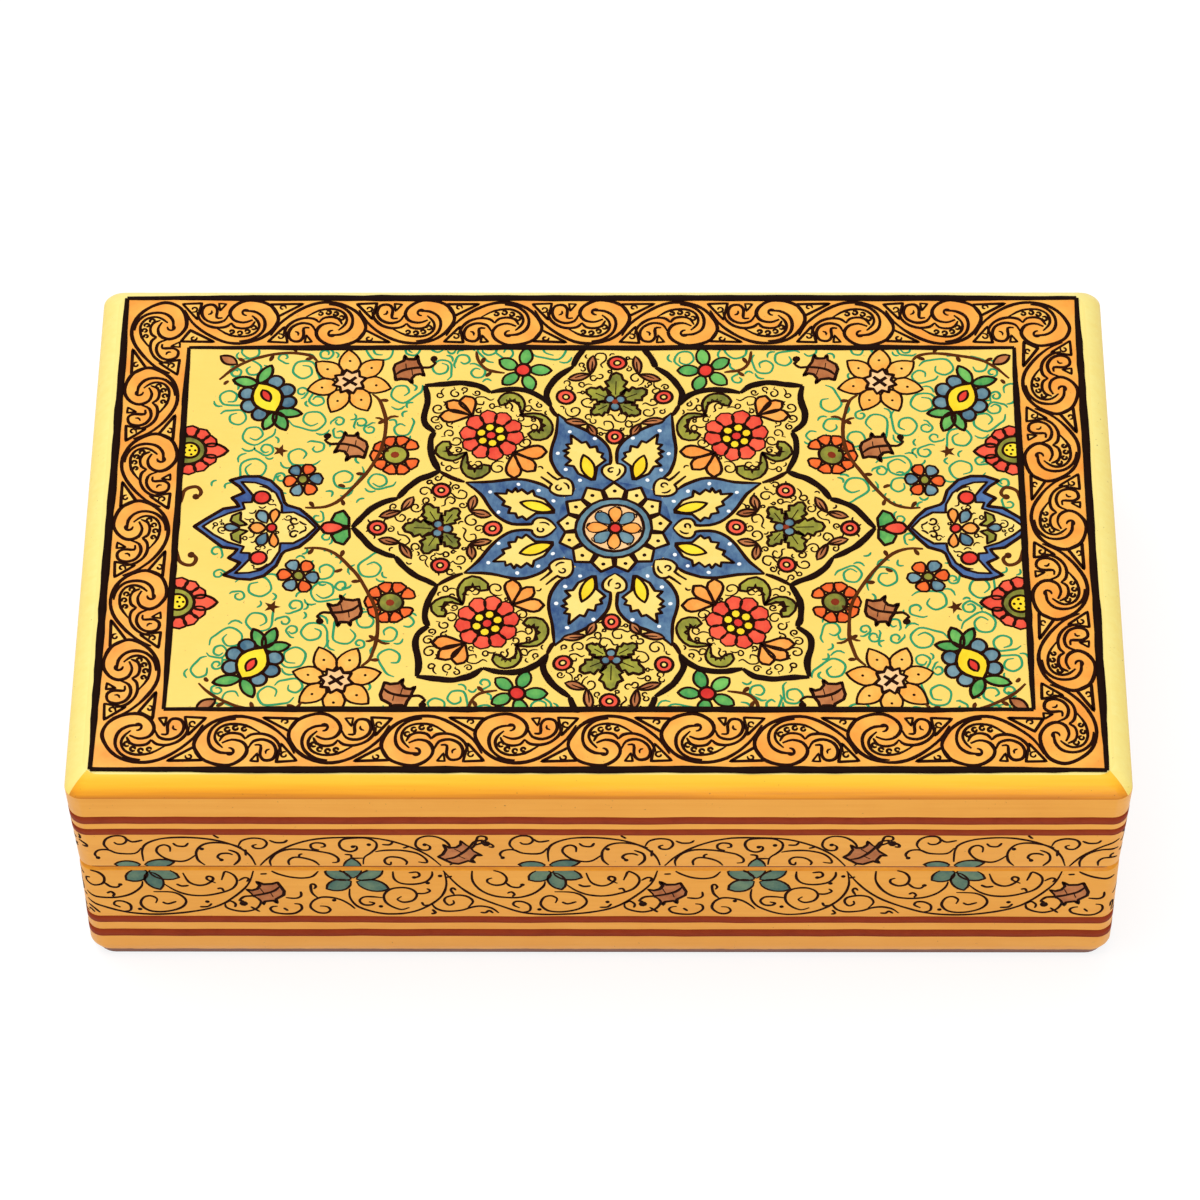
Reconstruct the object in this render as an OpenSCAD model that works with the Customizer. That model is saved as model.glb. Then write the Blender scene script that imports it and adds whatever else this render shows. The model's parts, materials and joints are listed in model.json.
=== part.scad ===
// Hinged painted box: a nailed wooden carcass under a lacquered papier mache skin,
// sawn into base and lid, lined with velvet-covered card and hung on two brass butt hinges.
// Millimetres. +Z is up, -Y is the front, and the origin is the centre of the underside.

/* [Overall size] */
// Width of the box across the lid's shoulder
box_w = 203; // [160:1:260]
// Depth of the box across the lid's shoulder
box_d = 127; // [100:1:170]
// Height of the seam above the table
seam_h = 31; // [26:0.5:50]
// Height of the lid from the seam to its top face
lid_h = 27; // [22:0.5:45]
// Gap left between the two closed rims
seam_gap = 0.1; // [0.06:0.02:0.3]

/* [Papier mache skin] */
// Thickness of the paper skin on the sides and over the rims
skin_t = 1; // [0.9:0.1:1.6]
// Thickness of the paper skin on the top face
top_skin_t = 1; // [0.6:0.1:2]
// Radius of the upright corners, seen from above
corner_r = 3; // [1.5:0.1:5]
// How far each side of the lid leans out from the seam up to the shoulder
lid_lean = 0.8; // [0.2:0.1:2]
// Run of the bevel round the lid's top, seen from above
bevel_w = 4.2; // [3:0.1:7]
// Drop of the bevel below the top face
bevel_h = 3.6; // [2.5:0.1:4.5]
// Bulge of the bevel beyond a flat chamfer
bevel_bulge = 0.45; // [0.1:0.05:0.8]
// Chamfer on the base's rim at the front and the sides
rim_chamfer = 1.3; // [0.2:0.05:1.5]
// Chamfer on both rims at the back, which stops the open lid
back_chamfer = 1.4; // [1.3:0.05:1.6]
// How far the base's sides draw in at the foot
foot_inset = 0.7; // [0.3:0.1:0.8]
// Height over which they draw in
foot_inset_h = 3; // [1:0.2:6]
// Radius of the corners at the foot, seen from above
foot_corner_r = 4.2; // [3:0.1:6]

/* [Wooden carcass] */
// Thickness of the upright boards
board_t = 5.5; // [4.5:0.25:8]
// Thickness of the floor board
floor_t = 4; // [3:0.25:7]
// Thickness of the lid's top board
top_board_t = 6; // [5:0.25:9]
// Bevel along the upper edges of the top board
top_board_bevel = 2.8; // [2.4:0.1:3.4]
// Depth of the rabbets that hold the end boards
corner_lap = 2.5; // [1.5:0.25:3.5]
// Depth of the rabbet that holds the floor board
floor_lap = 2.5; // [1.5:0.25:3.5]

/* [Nails] */
// Radius of a nail's shank
nail_r = 0.6; // [0.4:0.05:0.8]
// Radius of a nail's head
nail_head_r = 1.1; // [0.9:0.05:1.4]
// Thickness of a nail's head
nail_head_t = 0.5; // [0.3:0.1:0.8]
// Length of a nail
nail_l = 13; // [9:0.5:16]
// How deep the heads are punched below the wood's surface
nail_sink = 0.8; // [0.7:0.05:1.2]
// Clearance round a nail in its hole
nail_clear = 0.03; // [0.02:0.01:0.08]
// Nails along each long edge of the floor and of the top
nails_long = 4; // [3:1:6]
// Distance of the corner nails from the edges of the upright boards
nail_edge = 3.5; // [2.5:0.5:5]
// Distance of the top's nails from the inner face of the upright boards
nail_inner = 1.4; // [1:0.1:2.5]
// Distance of the outermost edge nails from the carcass corners
nail_end = 14; // [10:1:24]

/* [Lining and cloth] */
// Thickness of the velvet-covered card on the walls
lining_t = 1.2; // [0.8:0.1:2.5]
// Thickness of the velvet pad on the floor
floor_pad_t = 2; // [1:0.25:4]
// Thickness of the velvet pad under the lid
lid_pad_t = 1.6; // [1:0.2:3]
// Clearance round each velvet pad
pad_clear = 0.3; // [0.1:0.1:0.8]
// Thickness of the cloth under the base
cloth_t = 0.6; // [0.4:0.1:1.2]
// Set-back of that cloth from the base's foot
cloth_inset = 0.4; // [0.2:0.1:2]

/* [Hinges] */
// Distance from the box's shoulder at each end to the middle of the hinge there
hinge_end = 39.5; // [30:0.5:60]
// Length of a hinge
hinge_l = 22; // [18:1:28]
// Clearance round a leaf in its mortise
mortise_clear = 0.1; // [0.05:0.05:0.3]
// Width of a leaf from the pin's axis
leaf_w = 5.2; // [5:0.1:6]
// Thickness of a leaf
leaf_t = 0.8; // [0.6:0.05:0.85]
// Distance of the pin's axis inside the back face at the seam
pin_inset = 1; // [0.9:0.05:1.05]
// Outer radius of the knuckles
knuckle_r = 1.5; // [1.35:0.05:1.7]
// Number of knuckles on a hinge
knuckles = 5; // [3:2:7]
// Gap between two knuckles
knuckle_gap = 0.2; // [0.1:0.05:0.4]
// Radius of a hinge pin
pin_r = 0.75; // [0.6:0.05:0.9]
// Clearance of the pin in the lid's knuckles
pin_running = 0.05; // [0.03:0.01:0.08]
// Clearance of the pin in the base's knuckles
pin_seat = 0.015; // [0.01:0.005:0.03]
// Room round the knuckles in wood, paper and the other leaf
knuckle_room = 0.35; // [0.25:0.05:0.5]
// Distance between a hinge's two screws
screw_pitch = 13.5; // [11:0.5:15]
// Distance of the screws from the pin's axis
screw_y = 3.45; // [3.3:0.05:3.6]
// Radius of a screw's shank
screw_r = 0.7; // [0.5:0.05:0.8]
// Radius of a screw's countersunk head
screw_head_r = 1.3; // [1.1:0.05:1.4]
// Depth of a screw's countersunk head
screw_head_t = 0.55; // [0.4:0.05:0.58]
// Length of a screw
screw_l = 7; // [5:0.5:9]
// Clearance round a screw
screw_clear = 0.04; // [0.02:0.01:0.08]
// Width of a screw's driving slot
slot_w = 0.32; // [0.2:0.02:0.4]
// Depth of a screw's driving slot
slot_h = 0.25; // [0.15:0.05:0.3]

/* [Hidden] */
$fn = 48;
over = 1;                  // how far a cut runs past a face
sliver = 0.01;             // thickness of a slice inside a hull
bevel_steps = 5;           // slices along the curved bevel
hull_fn = 32;

box_h = seam_h + lid_h;
seam_w = box_w - 2 * lid_lean;
seam_d = box_d - 2 * lid_lean;
frame_w = seam_w - 2 * skin_t;
frame_d = seam_d - 2 * skin_t;
hollow_w = frame_w - 2 * board_t;
hollow_d = frame_d - 2 * board_t;
end_board_l = frame_d - 2 * (board_t - corner_lap);
frame_corner_r = foot_corner_r - (skin_t - foot_inset);
base_rim = seam_h - seam_gap / 2;
lid_rim = seam_h + seam_gap / 2;
base_board_top = base_rim - skin_t;
lid_board_low = lid_rim + skin_t;
top_board_z = box_h - top_skin_t - top_board_t;
shoulder_z = box_h - bevel_h;
floor_top = cloth_t + floor_t;
hinge_x = box_w / 2 - hinge_end;
axis_y = seam_d / 2 - pin_inset;
leaf_z = seam_gap / 2 + skin_t - leaf_t;   // from the pin's axis to a leaf's open face
knuckle_l = (hinge_l - (knuckles - 1) * knuckle_gap) / knuckles;
pin_head_t = 0.4;
pin_head_r = pin_r + 0.35;
hinge_cut_l = hinge_l + 2 * (pin_head_t + knuckle_room);
tip_r = 0.1;               // blunt point of a nail or a screw
SIDES = [-1, 1];

wood = "burlywood";
paint = "goldenrod";
velvet = "maroon";
brass = "gold";
steel = "slategray";

// ---------- shared shapes ----------

// A block centred in X and Y between two heights
module block(w, d, z0, z1) {
    translate([-w / 2, -d / 2, z0]) cube([w, d, z1 - z0]);
}

// Four round posts at the corners of one thin slice, for use inside a hull
module slice(w, d, r, z) {
    for (sx = SIDES, sy = SIDES)
        translate([sx * (w / 2 - r), sy * (d / 2 - r), z])
            cylinder(r = r, h = sliver, $fn = hull_fn);
}

// A cylinder lying along X, centred on the pin's axis
module along_axis(r, l) {
    translate([-l / 2, axis_y, seam_h]) rotate([0, 90, 0]) cylinder(r = r, h = l);
}

// ---------- nails ----------

// A nail pointing along -Z, its head sunk below z = 0; with a clearance, the hole for it
module nail(grow = 0) {
    tip = 2 * nail_r;
    translate([0, 0, -nail_sink]) {
        translate([0, 0, -nail_head_t])
            cylinder(r = nail_head_r + grow, h = nail_head_t + (grow > 0 ? nail_sink + over : 0));
        translate([0, 0, -nail_l + tip]) cylinder(r = nail_r + grow, h = nail_l - tip);
        translate([0, 0, -nail_l]) cylinder(r1 = tip_r + grow, r2 = nail_r + grow, h = tip);
    }
}

// Nails through the long boards into the ends of the end boards, at the given heights
module corner_nails(heights, grow = 0) {
    for (z = heights, sx = SIDES, sy = SIDES)
        translate([sx * (frame_w - board_t) / 2, sy * frame_d / 2, z])
            rotate([sy > 0 ? -90 : 90, 0, 0]) nail(grow);
}

// Places of the nails along the four edges: along X for the long sides, along Y for the ends
function long_places() = let (run = frame_w / 2 - nail_end)
    [for (i = [0 : nails_long - 1]) -run + i * 2 * run / (nails_long - 1)];
function end_places() = let (run = frame_d / 2 - nail_end) [-run / 2, run / 2];

// The top's nails go down into the edges of the upright boards
module lid_top_nails(grow = 0) {
    color(steel) translate([0, 0, box_h - top_skin_t]) {
        for (sy = SIDES, x = long_places())
            translate([x, sy * (hollow_d / 2 + nail_inner), 0]) nail(grow);
        for (sx = SIDES, y = end_places())
            translate([sx * (hollow_w / 2 + nail_inner), y, 0]) nail(grow);
    }
}

// The floor's nails go in from the sides, through the rabbet into the floor board's edge
module base_floor_nails(grow = 0) {
    color(steel) translate([0, 0, cloth_t + floor_t / 2]) {
        for (sy = SIDES, x = long_places())
            translate([x, sy * frame_d / 2, 0]) rotate([sy > 0 ? -90 : 90, 0, 0]) nail(grow);
        for (sx = SIDES, y = end_places())
            translate([sx * frame_w / 2, y, 0]) rotate([0, sx * 90, 0]) nail(grow);
    }
}

module base_corner_nails(grow = 0) {
    color(steel) corner_nails([floor_top + nail_edge, base_board_top - nail_edge], grow);
}

module lid_corner_nails(grow = 0) {
    color(steel) corner_nails([lid_board_low + nail_edge, top_board_z - nail_edge], grow);
}

// ---------- hinges ----------

// The low end of each knuckle along X, from the hinge's middle
function knuckle_x(i) = -hinge_l / 2 + i * (knuckle_l + knuckle_gap);

// The knuckles of one leaf: even ones belong to the base, odd ones to the lid
module knuckle_row(odd, r, extra = 0) {
    for (i = [odd ? 1 : 0 : 2 : knuckles - 1])
        translate([knuckle_x(i) - extra, axis_y, seam_h])
            rotate([0, 90, 0]) cylinder(r = r, h = knuckle_l + 2 * extra);
}

// One leaf at the middle of the box: side is -1 for the base's and 1 for the lid's
module leaf(side) {
    own_odd = side > 0;
    far = leaf_z + leaf_t;
    difference() {
        union() {
            difference() {
                translate([-hinge_l / 2, axis_y - leaf_w, seam_h + (side > 0 ? leaf_z : -far)])
                    cube([hinge_l, leaf_w, leaf_t]);
                knuckle_row(!own_odd, knuckle_r + knuckle_room, knuckle_gap);
            }
            knuckle_row(own_odd, knuckle_r);
        }
        along_axis(pin_r + (own_odd ? pin_running : pin_seat), hinge_l + 2 * over);
        screws(side, screw_clear);
    }
}

// One hinge's two countersunk screws at the middle of the box, heads towards the seam
module screws(side, grow = 0) {
    for (sx = SIDES)
        translate([sx * screw_pitch / 2, axis_y - screw_y, seam_h + side * leaf_z])
            rotate([side > 0 ? 180 : 0, 0, 0]) screw(grow);
}

// A screw pointing along -Z with its head flush at z = 0
module screw(grow) {
    tip = 2 * screw_r;
    difference() {
        union() {
            translate([0, 0, -screw_head_t])
                cylinder(r1 = screw_r + grow, r2 = screw_head_r + grow, h = screw_head_t);
            translate([0, 0, tip - screw_l])
                cylinder(r = screw_r + grow, h = screw_l - tip);
            translate([0, 0, -screw_l])
                cylinder(r1 = tip_r + grow, r2 = screw_r + grow, h = tip);
            if (grow > 0) cylinder(r = screw_head_r + grow, h = over);
        }
        if (grow == 0)
            translate([-screw_head_r - over, -slot_w / 2, -slot_h])
                cube([2 * (screw_head_r + over), slot_w, slot_h + over]);
    }
}

// The room that a hinge takes out of one rim: side is -1 for the base and 1 for the lid
module hinge_room(side) {
    for (sx = SIDES) translate([sx * hinge_x, 0, 0]) {
        along_axis(knuckle_r + knuckle_room, hinge_cut_l);
        translate([-hinge_l / 2 - mortise_clear, axis_y - leaf_w - mortise_clear,
                   seam_h + (side > 0 ? -over : -leaf_z - leaf_t)])
            cube([hinge_l + 2 * mortise_clear, leaf_w + mortise_clear, over + leaf_z + leaf_t]);
        screws(side, screw_clear);
    }
}

module hinge_base_leaf(sx) { color(brass) translate([sx * hinge_x, 0, 0]) leaf(-1); }
module hinge_lid_leaf(sx) { color(brass) translate([sx * hinge_x, 0, 0]) leaf(1); }

module hinge_pin(sx) {
    color(brass) translate([sx * hinge_x, 0, 0]) {
        along_axis(pin_r, hinge_l + 2 * pin_head_t);
        for (s = SIDES)
            translate([s * (hinge_l + pin_head_t) / 2, 0, 0]) along_axis(pin_head_r, pin_head_t);
    }
}

module hinge_base_screws() {
    color(brass) for (sx = SIDES) translate([sx * hinge_x, 0, 0]) screws(-1);
}

module hinge_lid_screws() {
    color(brass) for (sx = SIDES) translate([sx * hinge_x, 0, 0]) screws(1);
}

// ---------- carcass ----------

// The carcass's outline between two heights, its upright corners filed round
module carcass_block(z0, z1) {
    r = frame_corner_r;
    block(frame_w - 2 * r, frame_d, z0, z1);
    block(frame_w, frame_d - 2 * r, z0, z1);
    for (sx = SIDES, sy = SIDES)
        translate([sx * (frame_w / 2 - r), sy * (frame_d / 2 - r), z0])
            cylinder(r = r, h = z1 - z0);
}

// A front or back board, rabbeted at its ends to take the end boards
module long_board(sy, z0, z1) {
    intersection() {
        carcass_block(z0, z1);
        difference() {
            translate([0, sy * (frame_d - board_t) / 2, 0]) block(frame_w, board_t, z0, z1);
            for (sx = SIDES) end_board_blank(sx, z0 - over, z1 + over);
        }
    }
}

module end_board_blank(sx, z0, z1) {
    translate([sx * (frame_w - board_t) / 2, 0, 0]) block(board_t, end_board_l, z0, z1);
}

module end_board(sx, z0, z1) {
    intersection() {
        carcass_block(z0, z1);
        end_board_blank(sx, z0, z1);
    }
}

module floor_block() {
    block(hollow_w + 2 * floor_lap, hollow_d + 2 * floor_lap, cloth_t, floor_top);
}

module base_nail_holes() {
    base_corner_nails(nail_clear);
    base_floor_nails(nail_clear);
}

module lid_nail_holes() {
    lid_corner_nails(nail_clear);
    lid_top_nails(nail_clear);
}

module base_long_board(sy) {
    color(wood) difference() {
        long_board(sy, cloth_t, base_board_top);
        floor_block();
        base_nail_holes();
        if (sy > 0) hinge_room(-1);
    }
}

module base_end_board(sx) {
    color(wood) difference() {
        end_board(sx, cloth_t, base_board_top);
        floor_block();
        base_nail_holes();
    }
}

module base_floor_board() {
    color(wood) difference() {
        floor_block();
        base_nail_holes();
    }
}

module lid_long_board(sy) {
    color(wood) difference() {
        long_board(sy, lid_board_low, top_board_z);
        lid_nail_holes();
        if (sy > 0) hinge_room(1);
    }
}

module lid_end_board(sx) {
    color(wood) difference() {
        end_board(sx, lid_board_low, top_board_z);
        lid_nail_holes();
    }
}

// The outline of the top board across a span, with both upper edges planed to a bevel
module bevelled_section(span) {
    half = span / 2;
    polygon([[-half, 0], [half, 0], [half, top_board_t - top_board_bevel],
             [half - top_board_bevel, top_board_t], [top_board_bevel - half, top_board_t],
             [-half, top_board_t - top_board_bevel]]);
}

module top_board_block() {
    translate([0, 0, top_board_z]) intersection() {
        rotate([90, 0, 0]) linear_extrude(frame_d, center = true) bevelled_section(frame_w);
        rotate([90, 0, 90]) linear_extrude(frame_w, center = true) bevelled_section(frame_d);
        carcass_block(0, top_board_t);
    }
}

module lid_top_board() {
    color(wood) difference() {
        top_board_block();
        lid_top_nails(nail_clear);
    }
}

// ---------- papier mache skin ----------

// What the chamfer takes off a rim's back edge: side is -1 for the base and 1 for the lid
module back_edge_cut(side) {
    translate([0, seam_d / 2, side > 0 ? lid_rim : base_rim]) rotate([90, 0, 90])
        linear_extrude(box_w + 2 * over, center = true)
            polygon([[-back_chamfer, 0], [over, side * (back_chamfer + over)],
                     [over, -side * over], [-back_chamfer, -side * over]]);
}

// The base with its foot drawn in and its rim chamfered, except along the back
module base_outside() {
    hull() {
        slice(seam_w - 2 * foot_inset, seam_d - 2 * foot_inset, foot_corner_r, cloth_t);
        slice(seam_w, seam_d, corner_r, cloth_t + foot_inset_h);
        slice(seam_w, seam_d, corner_r, base_rim - rim_chamfer - sliver);
        translate([0, rim_chamfer / 2, 0])
            slice(seam_w - 2 * rim_chamfer, seam_d - rim_chamfer, corner_r, base_rim - sliver);
    }
}

module base_paper_skin() {
    color(paint) difference() {
        base_outside();
        carcass_block(cloth_t - over, base_board_top);
        block(hollow_w, hollow_d, base_board_top - over, base_rim + over);
        back_edge_cut(-1);
        hinge_room(-1);
    }
}

// Points of the bevel as [set-back from the shoulder, height above it]: a chord that bulges out
function bevel_point(t) =
    let (len = norm([bevel_w, bevel_h]), out = 4 * bevel_bulge * t * (1 - t))
    [bevel_w * t - out * bevel_h / len, bevel_h * t + out * bevel_w / len];

// The lid leaning out to its shoulder, its curved bevel mitred at the corners
module lid_outside() {
    shoulder_r = corner_r + lid_lean / 2;
    hull() {
        slice(seam_w, seam_d, corner_r, lid_rim);
        for (i = [0 : bevel_steps]) let (p = bevel_point(i / bevel_steps))
            slice(box_w - 2 * p[0], box_d - 2 * p[0], shoulder_r, shoulder_z + p[1] - sliver);
    }
}

module lid_paper_skin() {
    color(paint) difference() {
        lid_outside();
        carcass_block(lid_board_low, top_board_z + sliver);
        top_board_block();
        block(hollow_w, hollow_d, lid_rim - over, lid_board_low + over);
        back_edge_cut(1);
        hinge_room(1);
    }
}

// ---------- lining and cloth ----------

module underside_cloth() {
    w = seam_w - 2 * (foot_inset + cloth_inset);
    d = seam_d - 2 * (foot_inset + cloth_inset);
    r = foot_corner_r - cloth_inset;
    color(velvet) linear_extrude(cloth_t) union() {
        square([w - 2 * r, d], center = true);
        square([w, d - 2 * r], center = true);
        for (sx = SIDES, sy = SIDES) translate([sx * (w / 2 - r), sy * (d / 2 - r)]) circle(r = r);
    }
}

module long_lining(sy, z0, z1) {
    color(velvet) translate([0, sy * (hollow_d - lining_t) / 2, 0])
        block(hollow_w, lining_t, z0, z1);
}

module end_lining(sx, z0, z1) {
    color(velvet) translate([sx * (hollow_w - lining_t) / 2, 0, 0])
        block(lining_t, hollow_d - 2 * lining_t, z0, z1);
}

module velvet_pad(z0, z1) {
    inset = 2 * (lining_t + pad_clear);
    color(velvet) block(hollow_w - inset, hollow_d - inset, z0, z1);
}

// ---------- the nodes ----------

base_long_board(-1);  // base_front_board
base_long_board(1);  // base_back_board
base_end_board(-1);  // base_left_board
base_end_board(1);  // base_right_board
base_floor_board();
base_corner_nails();
base_floor_nails();
base_paper_skin();
underside_cloth();
velvet_pad(floor_top, floor_top + floor_pad_t);  // base_floor_pad
long_lining(-1, floor_top, base_rim);  // base_front_lining
long_lining(1, floor_top, base_rim);  // base_back_lining
end_lining(-1, floor_top, base_rim);  // base_left_lining
end_lining(1, floor_top, base_rim);  // base_right_lining
lid_long_board(-1);  // lid_front_board
lid_long_board(1);  // lid_back_board
lid_end_board(-1);  // lid_left_board
lid_end_board(1);  // lid_right_board
lid_top_board();
lid_corner_nails();
lid_top_nails();
lid_paper_skin();
velvet_pad(top_board_z - lid_pad_t, top_board_z);  // lid_ceiling_pad
long_lining(-1, lid_rim, top_board_z);  // lid_front_lining
long_lining(1, lid_rim, top_board_z);  // lid_back_lining
end_lining(-1, lid_rim, top_board_z);  // lid_left_lining
end_lining(1, lid_rim, top_board_z);  // lid_right_lining
hinge_base_leaf(-1);  // left_hinge_base_leaf
hinge_lid_leaf(-1);  // left_hinge_lid_leaf
hinge_pin(-1);  // left_hinge_pin
hinge_base_leaf(1);  // right_hinge_base_leaf
hinge_lid_leaf(1);  // right_hinge_lid_leaf
hinge_pin(1);  // right_hinge_pin
hinge_base_screws();
hinge_lid_screws();
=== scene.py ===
# %% [markdown]
# # A painted papier mache box
# The box is a nailed wooden carcass with a skin of paper pulp and gesso. A painter covered it with flowers,
# vines and scrolls, and a varnish protects the paint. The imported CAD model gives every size, so this lesson
# starts by loading it and measuring it. All lengths below are in millimetres until a mesh is made.

# %% The frame and its sizes
import cmath
import json
import math
import random

import bmesh
import bpy
from mathutils import Matrix, Vector, noise


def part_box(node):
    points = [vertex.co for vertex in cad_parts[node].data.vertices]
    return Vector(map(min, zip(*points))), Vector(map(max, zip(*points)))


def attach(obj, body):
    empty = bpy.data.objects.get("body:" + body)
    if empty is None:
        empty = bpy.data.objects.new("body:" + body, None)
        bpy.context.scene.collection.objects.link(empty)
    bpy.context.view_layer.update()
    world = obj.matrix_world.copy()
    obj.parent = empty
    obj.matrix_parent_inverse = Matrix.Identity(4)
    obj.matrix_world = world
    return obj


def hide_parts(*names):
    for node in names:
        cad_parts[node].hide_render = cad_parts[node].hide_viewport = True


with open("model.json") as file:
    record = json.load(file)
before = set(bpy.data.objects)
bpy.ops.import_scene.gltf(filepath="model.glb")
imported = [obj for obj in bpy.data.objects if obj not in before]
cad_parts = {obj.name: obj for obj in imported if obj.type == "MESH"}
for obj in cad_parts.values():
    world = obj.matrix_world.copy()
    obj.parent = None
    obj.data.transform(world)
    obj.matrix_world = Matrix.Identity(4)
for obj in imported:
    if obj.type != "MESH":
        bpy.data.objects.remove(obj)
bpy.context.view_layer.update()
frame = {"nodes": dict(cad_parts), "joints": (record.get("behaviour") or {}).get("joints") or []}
MM = 0.001


def room(node):
    """Lowest and highest corner of a CAD node, in millimetres."""
    low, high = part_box(node)
    return Vector(low) / MM, Vector(high) / MM


base_low, base_high = room("base_paper_skin")
lid_low, lid_high = room("lid_paper_skin")
seam_x, seam_y = base_high.x, base_high.y
wide_x, wide_y = lid_high.x, lid_high.y
rim_z, lid_z, top_z = base_high.z, lid_low.z, lid_high.z
seam_z = (rim_z + lid_z) / 2
shoulder_z = top_z - 3.6
print("box", wide_x * 2, "x", wide_y * 2, "x", top_z, "mm, seam at", seam_z)

# %% [markdown]
# ## Camera, floor and light
# The box was photographed from in front and well above with a long lens, so its sides hardly converge. The
# camera's place comes from the box's known corners. It could be turned with three angles, but writing down
# the right, up and view vectors keeps the small roll of the picture as well.

# %% Camera
pitch, yaw, roll = math.radians(52.32), math.radians(-0.85), math.radians(-0.651)
sight = Vector((math.sin(yaw) * math.cos(pitch), math.cos(yaw) * math.cos(pitch), -math.sin(pitch)))
level_right = sight.cross(Vector((0, 0, 1))).normalized()
level_up = level_right.cross(sight)
right = math.cos(roll) * level_right + math.sin(roll) * level_up
up = math.cos(roll) * level_up - math.sin(roll) * level_right
camera = bpy.data.objects.new("camera", bpy.data.cameras.new("camera"))
camera.data.sensor_width = 36
camera.data.lens = 159.384
camera.matrix_world = Matrix.Translation(Vector((9.5, -648.5, 873.86)) * MM) @ Matrix(
    (right, up, -sight)).transposed().to_4x4()
bpy.context.collection.objects.link(camera)
bpy.context.scene.camera = camera
bpy.context.scene.view_settings.view_transform = "Standard"
print("camera", [round(c, 4) for c in camera.matrix_world.translation])

# %% [markdown]
# ## A way to write node trees
# Shader and geometry trees are easier to read as sums than as boxes and wires. `Flow` wraps what comes out of
# a node, so that `1 - mask * 0.5` adds the Math nodes by itself, and `Recipe.node` makes any other node from
# its type, its settings and the values or links of its sockets.

# %% Flow and Recipe


class Flow:
    """A number, vector or colour on its way to the next node."""

    def __init__(self, recipe, socket):
        self.recipe, self.socket = recipe, socket

    def __add__(self, other):
        return self.recipe.maths("ADD", self, other)

    def __sub__(self, other):
        return self.recipe.maths("SUBTRACT", self, other)

    def __rsub__(self, other):
        return self.recipe.maths("SUBTRACT", other, self)

    def __mul__(self, other):
        return self.recipe.maths("MULTIPLY", self, other)

    def __gt__(self, other):
        return self.recipe.maths("GREATER_THAN", self, other)

    def __lt__(self, other):
        return self.recipe.maths("LESS_THAN", self, other)

    __radd__, __rmul__ = __add__, __mul__


class Recipe:
    """Adds nodes to one tree."""

    def __init__(self, tree):
        self.tree = tree
        tree.nodes.clear()

    def node(self, kind, settings=(), inputs=(), out=0):
        node = self.tree.nodes.new(kind)
        for name, value in dict(settings).items():
            if name == "stops":
                ramp = node.color_ramp.elements
                ramp[0].position, ramp[0].color = value[0]
                ramp[1].position, ramp[1].color = value[1]
                for place, colour in value[2:]:
                    ramp.new(place).color = colour
            else:
                setattr(node, name, value)
        for name, value in dict(inputs).items():
            if isinstance(value, Flow):
                self.tree.links.new(value.socket, node.inputs[name])
            else:
                node.inputs[name].default_value = value
        return Flow(self, node.outputs[out]) if node.outputs else node

    def maths(self, operation, *values):
        return self.node("ShaderNodeMath", {"operation": operation}, enumerate(values))

    def clip(self, value):
        return self.node("ShaderNodeMath", {"operation": "ADD", "use_clamp": True}, {0: value, 1: 0.0})

    def mix(self, first, second, factor, blend="MIX"):
        return self.node("ShaderNodeMix", {"data_type": "RGBA", "blend_type": blend},
                         {0: factor, 6: first, 7: second}, 2)

    def grain(self, place, scale, stretch=(1, 1, 1), detail=3.0, rough=0.5):
        """Noise of `scale` grains per millimetre, stretched along an axis."""
        spot = self.node("ShaderNodeMapping", {}, {"Vector": place, "Scale": [s / MM for s in stretch]})
        return self.node("ShaderNodeTexNoise", {}, {"Vector": spot, "Scale": scale, "Detail": detail,
                                                    "Roughness": rough})


def rgb(red, green, blue):
    """A colour as seen on a screen, 0 to 255, as Blender's linear light."""
    parts = [c / 255 for c in (red, green, blue)]
    return [c / 12.92 if c <= 0.04045 else ((c + 0.055) / 1.055) ** 2.4 for c in parts] + [1]


def finish(name, **even):
    """A material, its recipe, its Principled shader and its output; `even` values are the same all over."""
    material = bpy.data.materials.new(name)
    material.use_nodes = True
    recipe = Recipe(material.node_tree)
    inputs = {key.replace("_", " "): value for key, value in even.items()}
    shader = recipe.node("ShaderNodeBsdfPrincipled", {}, inputs)
    recipe.node("ShaderNodeOutputMaterial", {}, {"Surface": shader})
    recipe.shader = shader.socket.node
    recipe.place = recipe.node("ShaderNodeTexCoord", {}, {}, "Object")
    return material, recipe


def feed(recipe, **links):
    """Links flows to the shader's sockets."""
    for key, flow in links.items():
        recipe.tree.links.new(flow.socket, recipe.shader.inputs[key.replace("_", " ")])


print("recipes ready")

# %% [markdown]
# ## The floor and the lamps
# The photograph has a plain white ground with a thin soft shadow. The floor is pale, and rays that come from
# the camera or from a reflection see it a little brighter, so it stays white without more light on the box.

# %% Floor, world and lamps
floor_material = bpy.data.materials.new("pale_floor")
floor_material.use_nodes = True
floor_recipe = Recipe(floor_material.node_tree)
ray = floor_recipe.node("ShaderNodeLightPath")
seen = floor_recipe.maths("MAXIMUM", ray, floor_recipe.maths(
    "MAXIMUM", Flow(floor_recipe, ray.socket.node.outputs["Is Glossy Ray"]),
    Flow(floor_recipe, ray.socket.node.outputs["Is Transmission Ray"])))
paper = floor_recipe.node("ShaderNodeBsdfDiffuse", {}, {"Color": floor_recipe.mix(
    rgb(236, 234, 230), rgb(150, 150, 150), seen)})
lift = floor_recipe.node("ShaderNodeEmission", {}, {"Color": (1, 1, 1, 1), "Strength": 0.78 * seen})
floor_recipe.node("ShaderNodeOutputMaterial", {}, {"Surface": floor_recipe.node(
    "ShaderNodeAddShader", {}, {0: paper, 1: lift})})
floor_mesh = bpy.data.meshes.new("floor")
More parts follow.
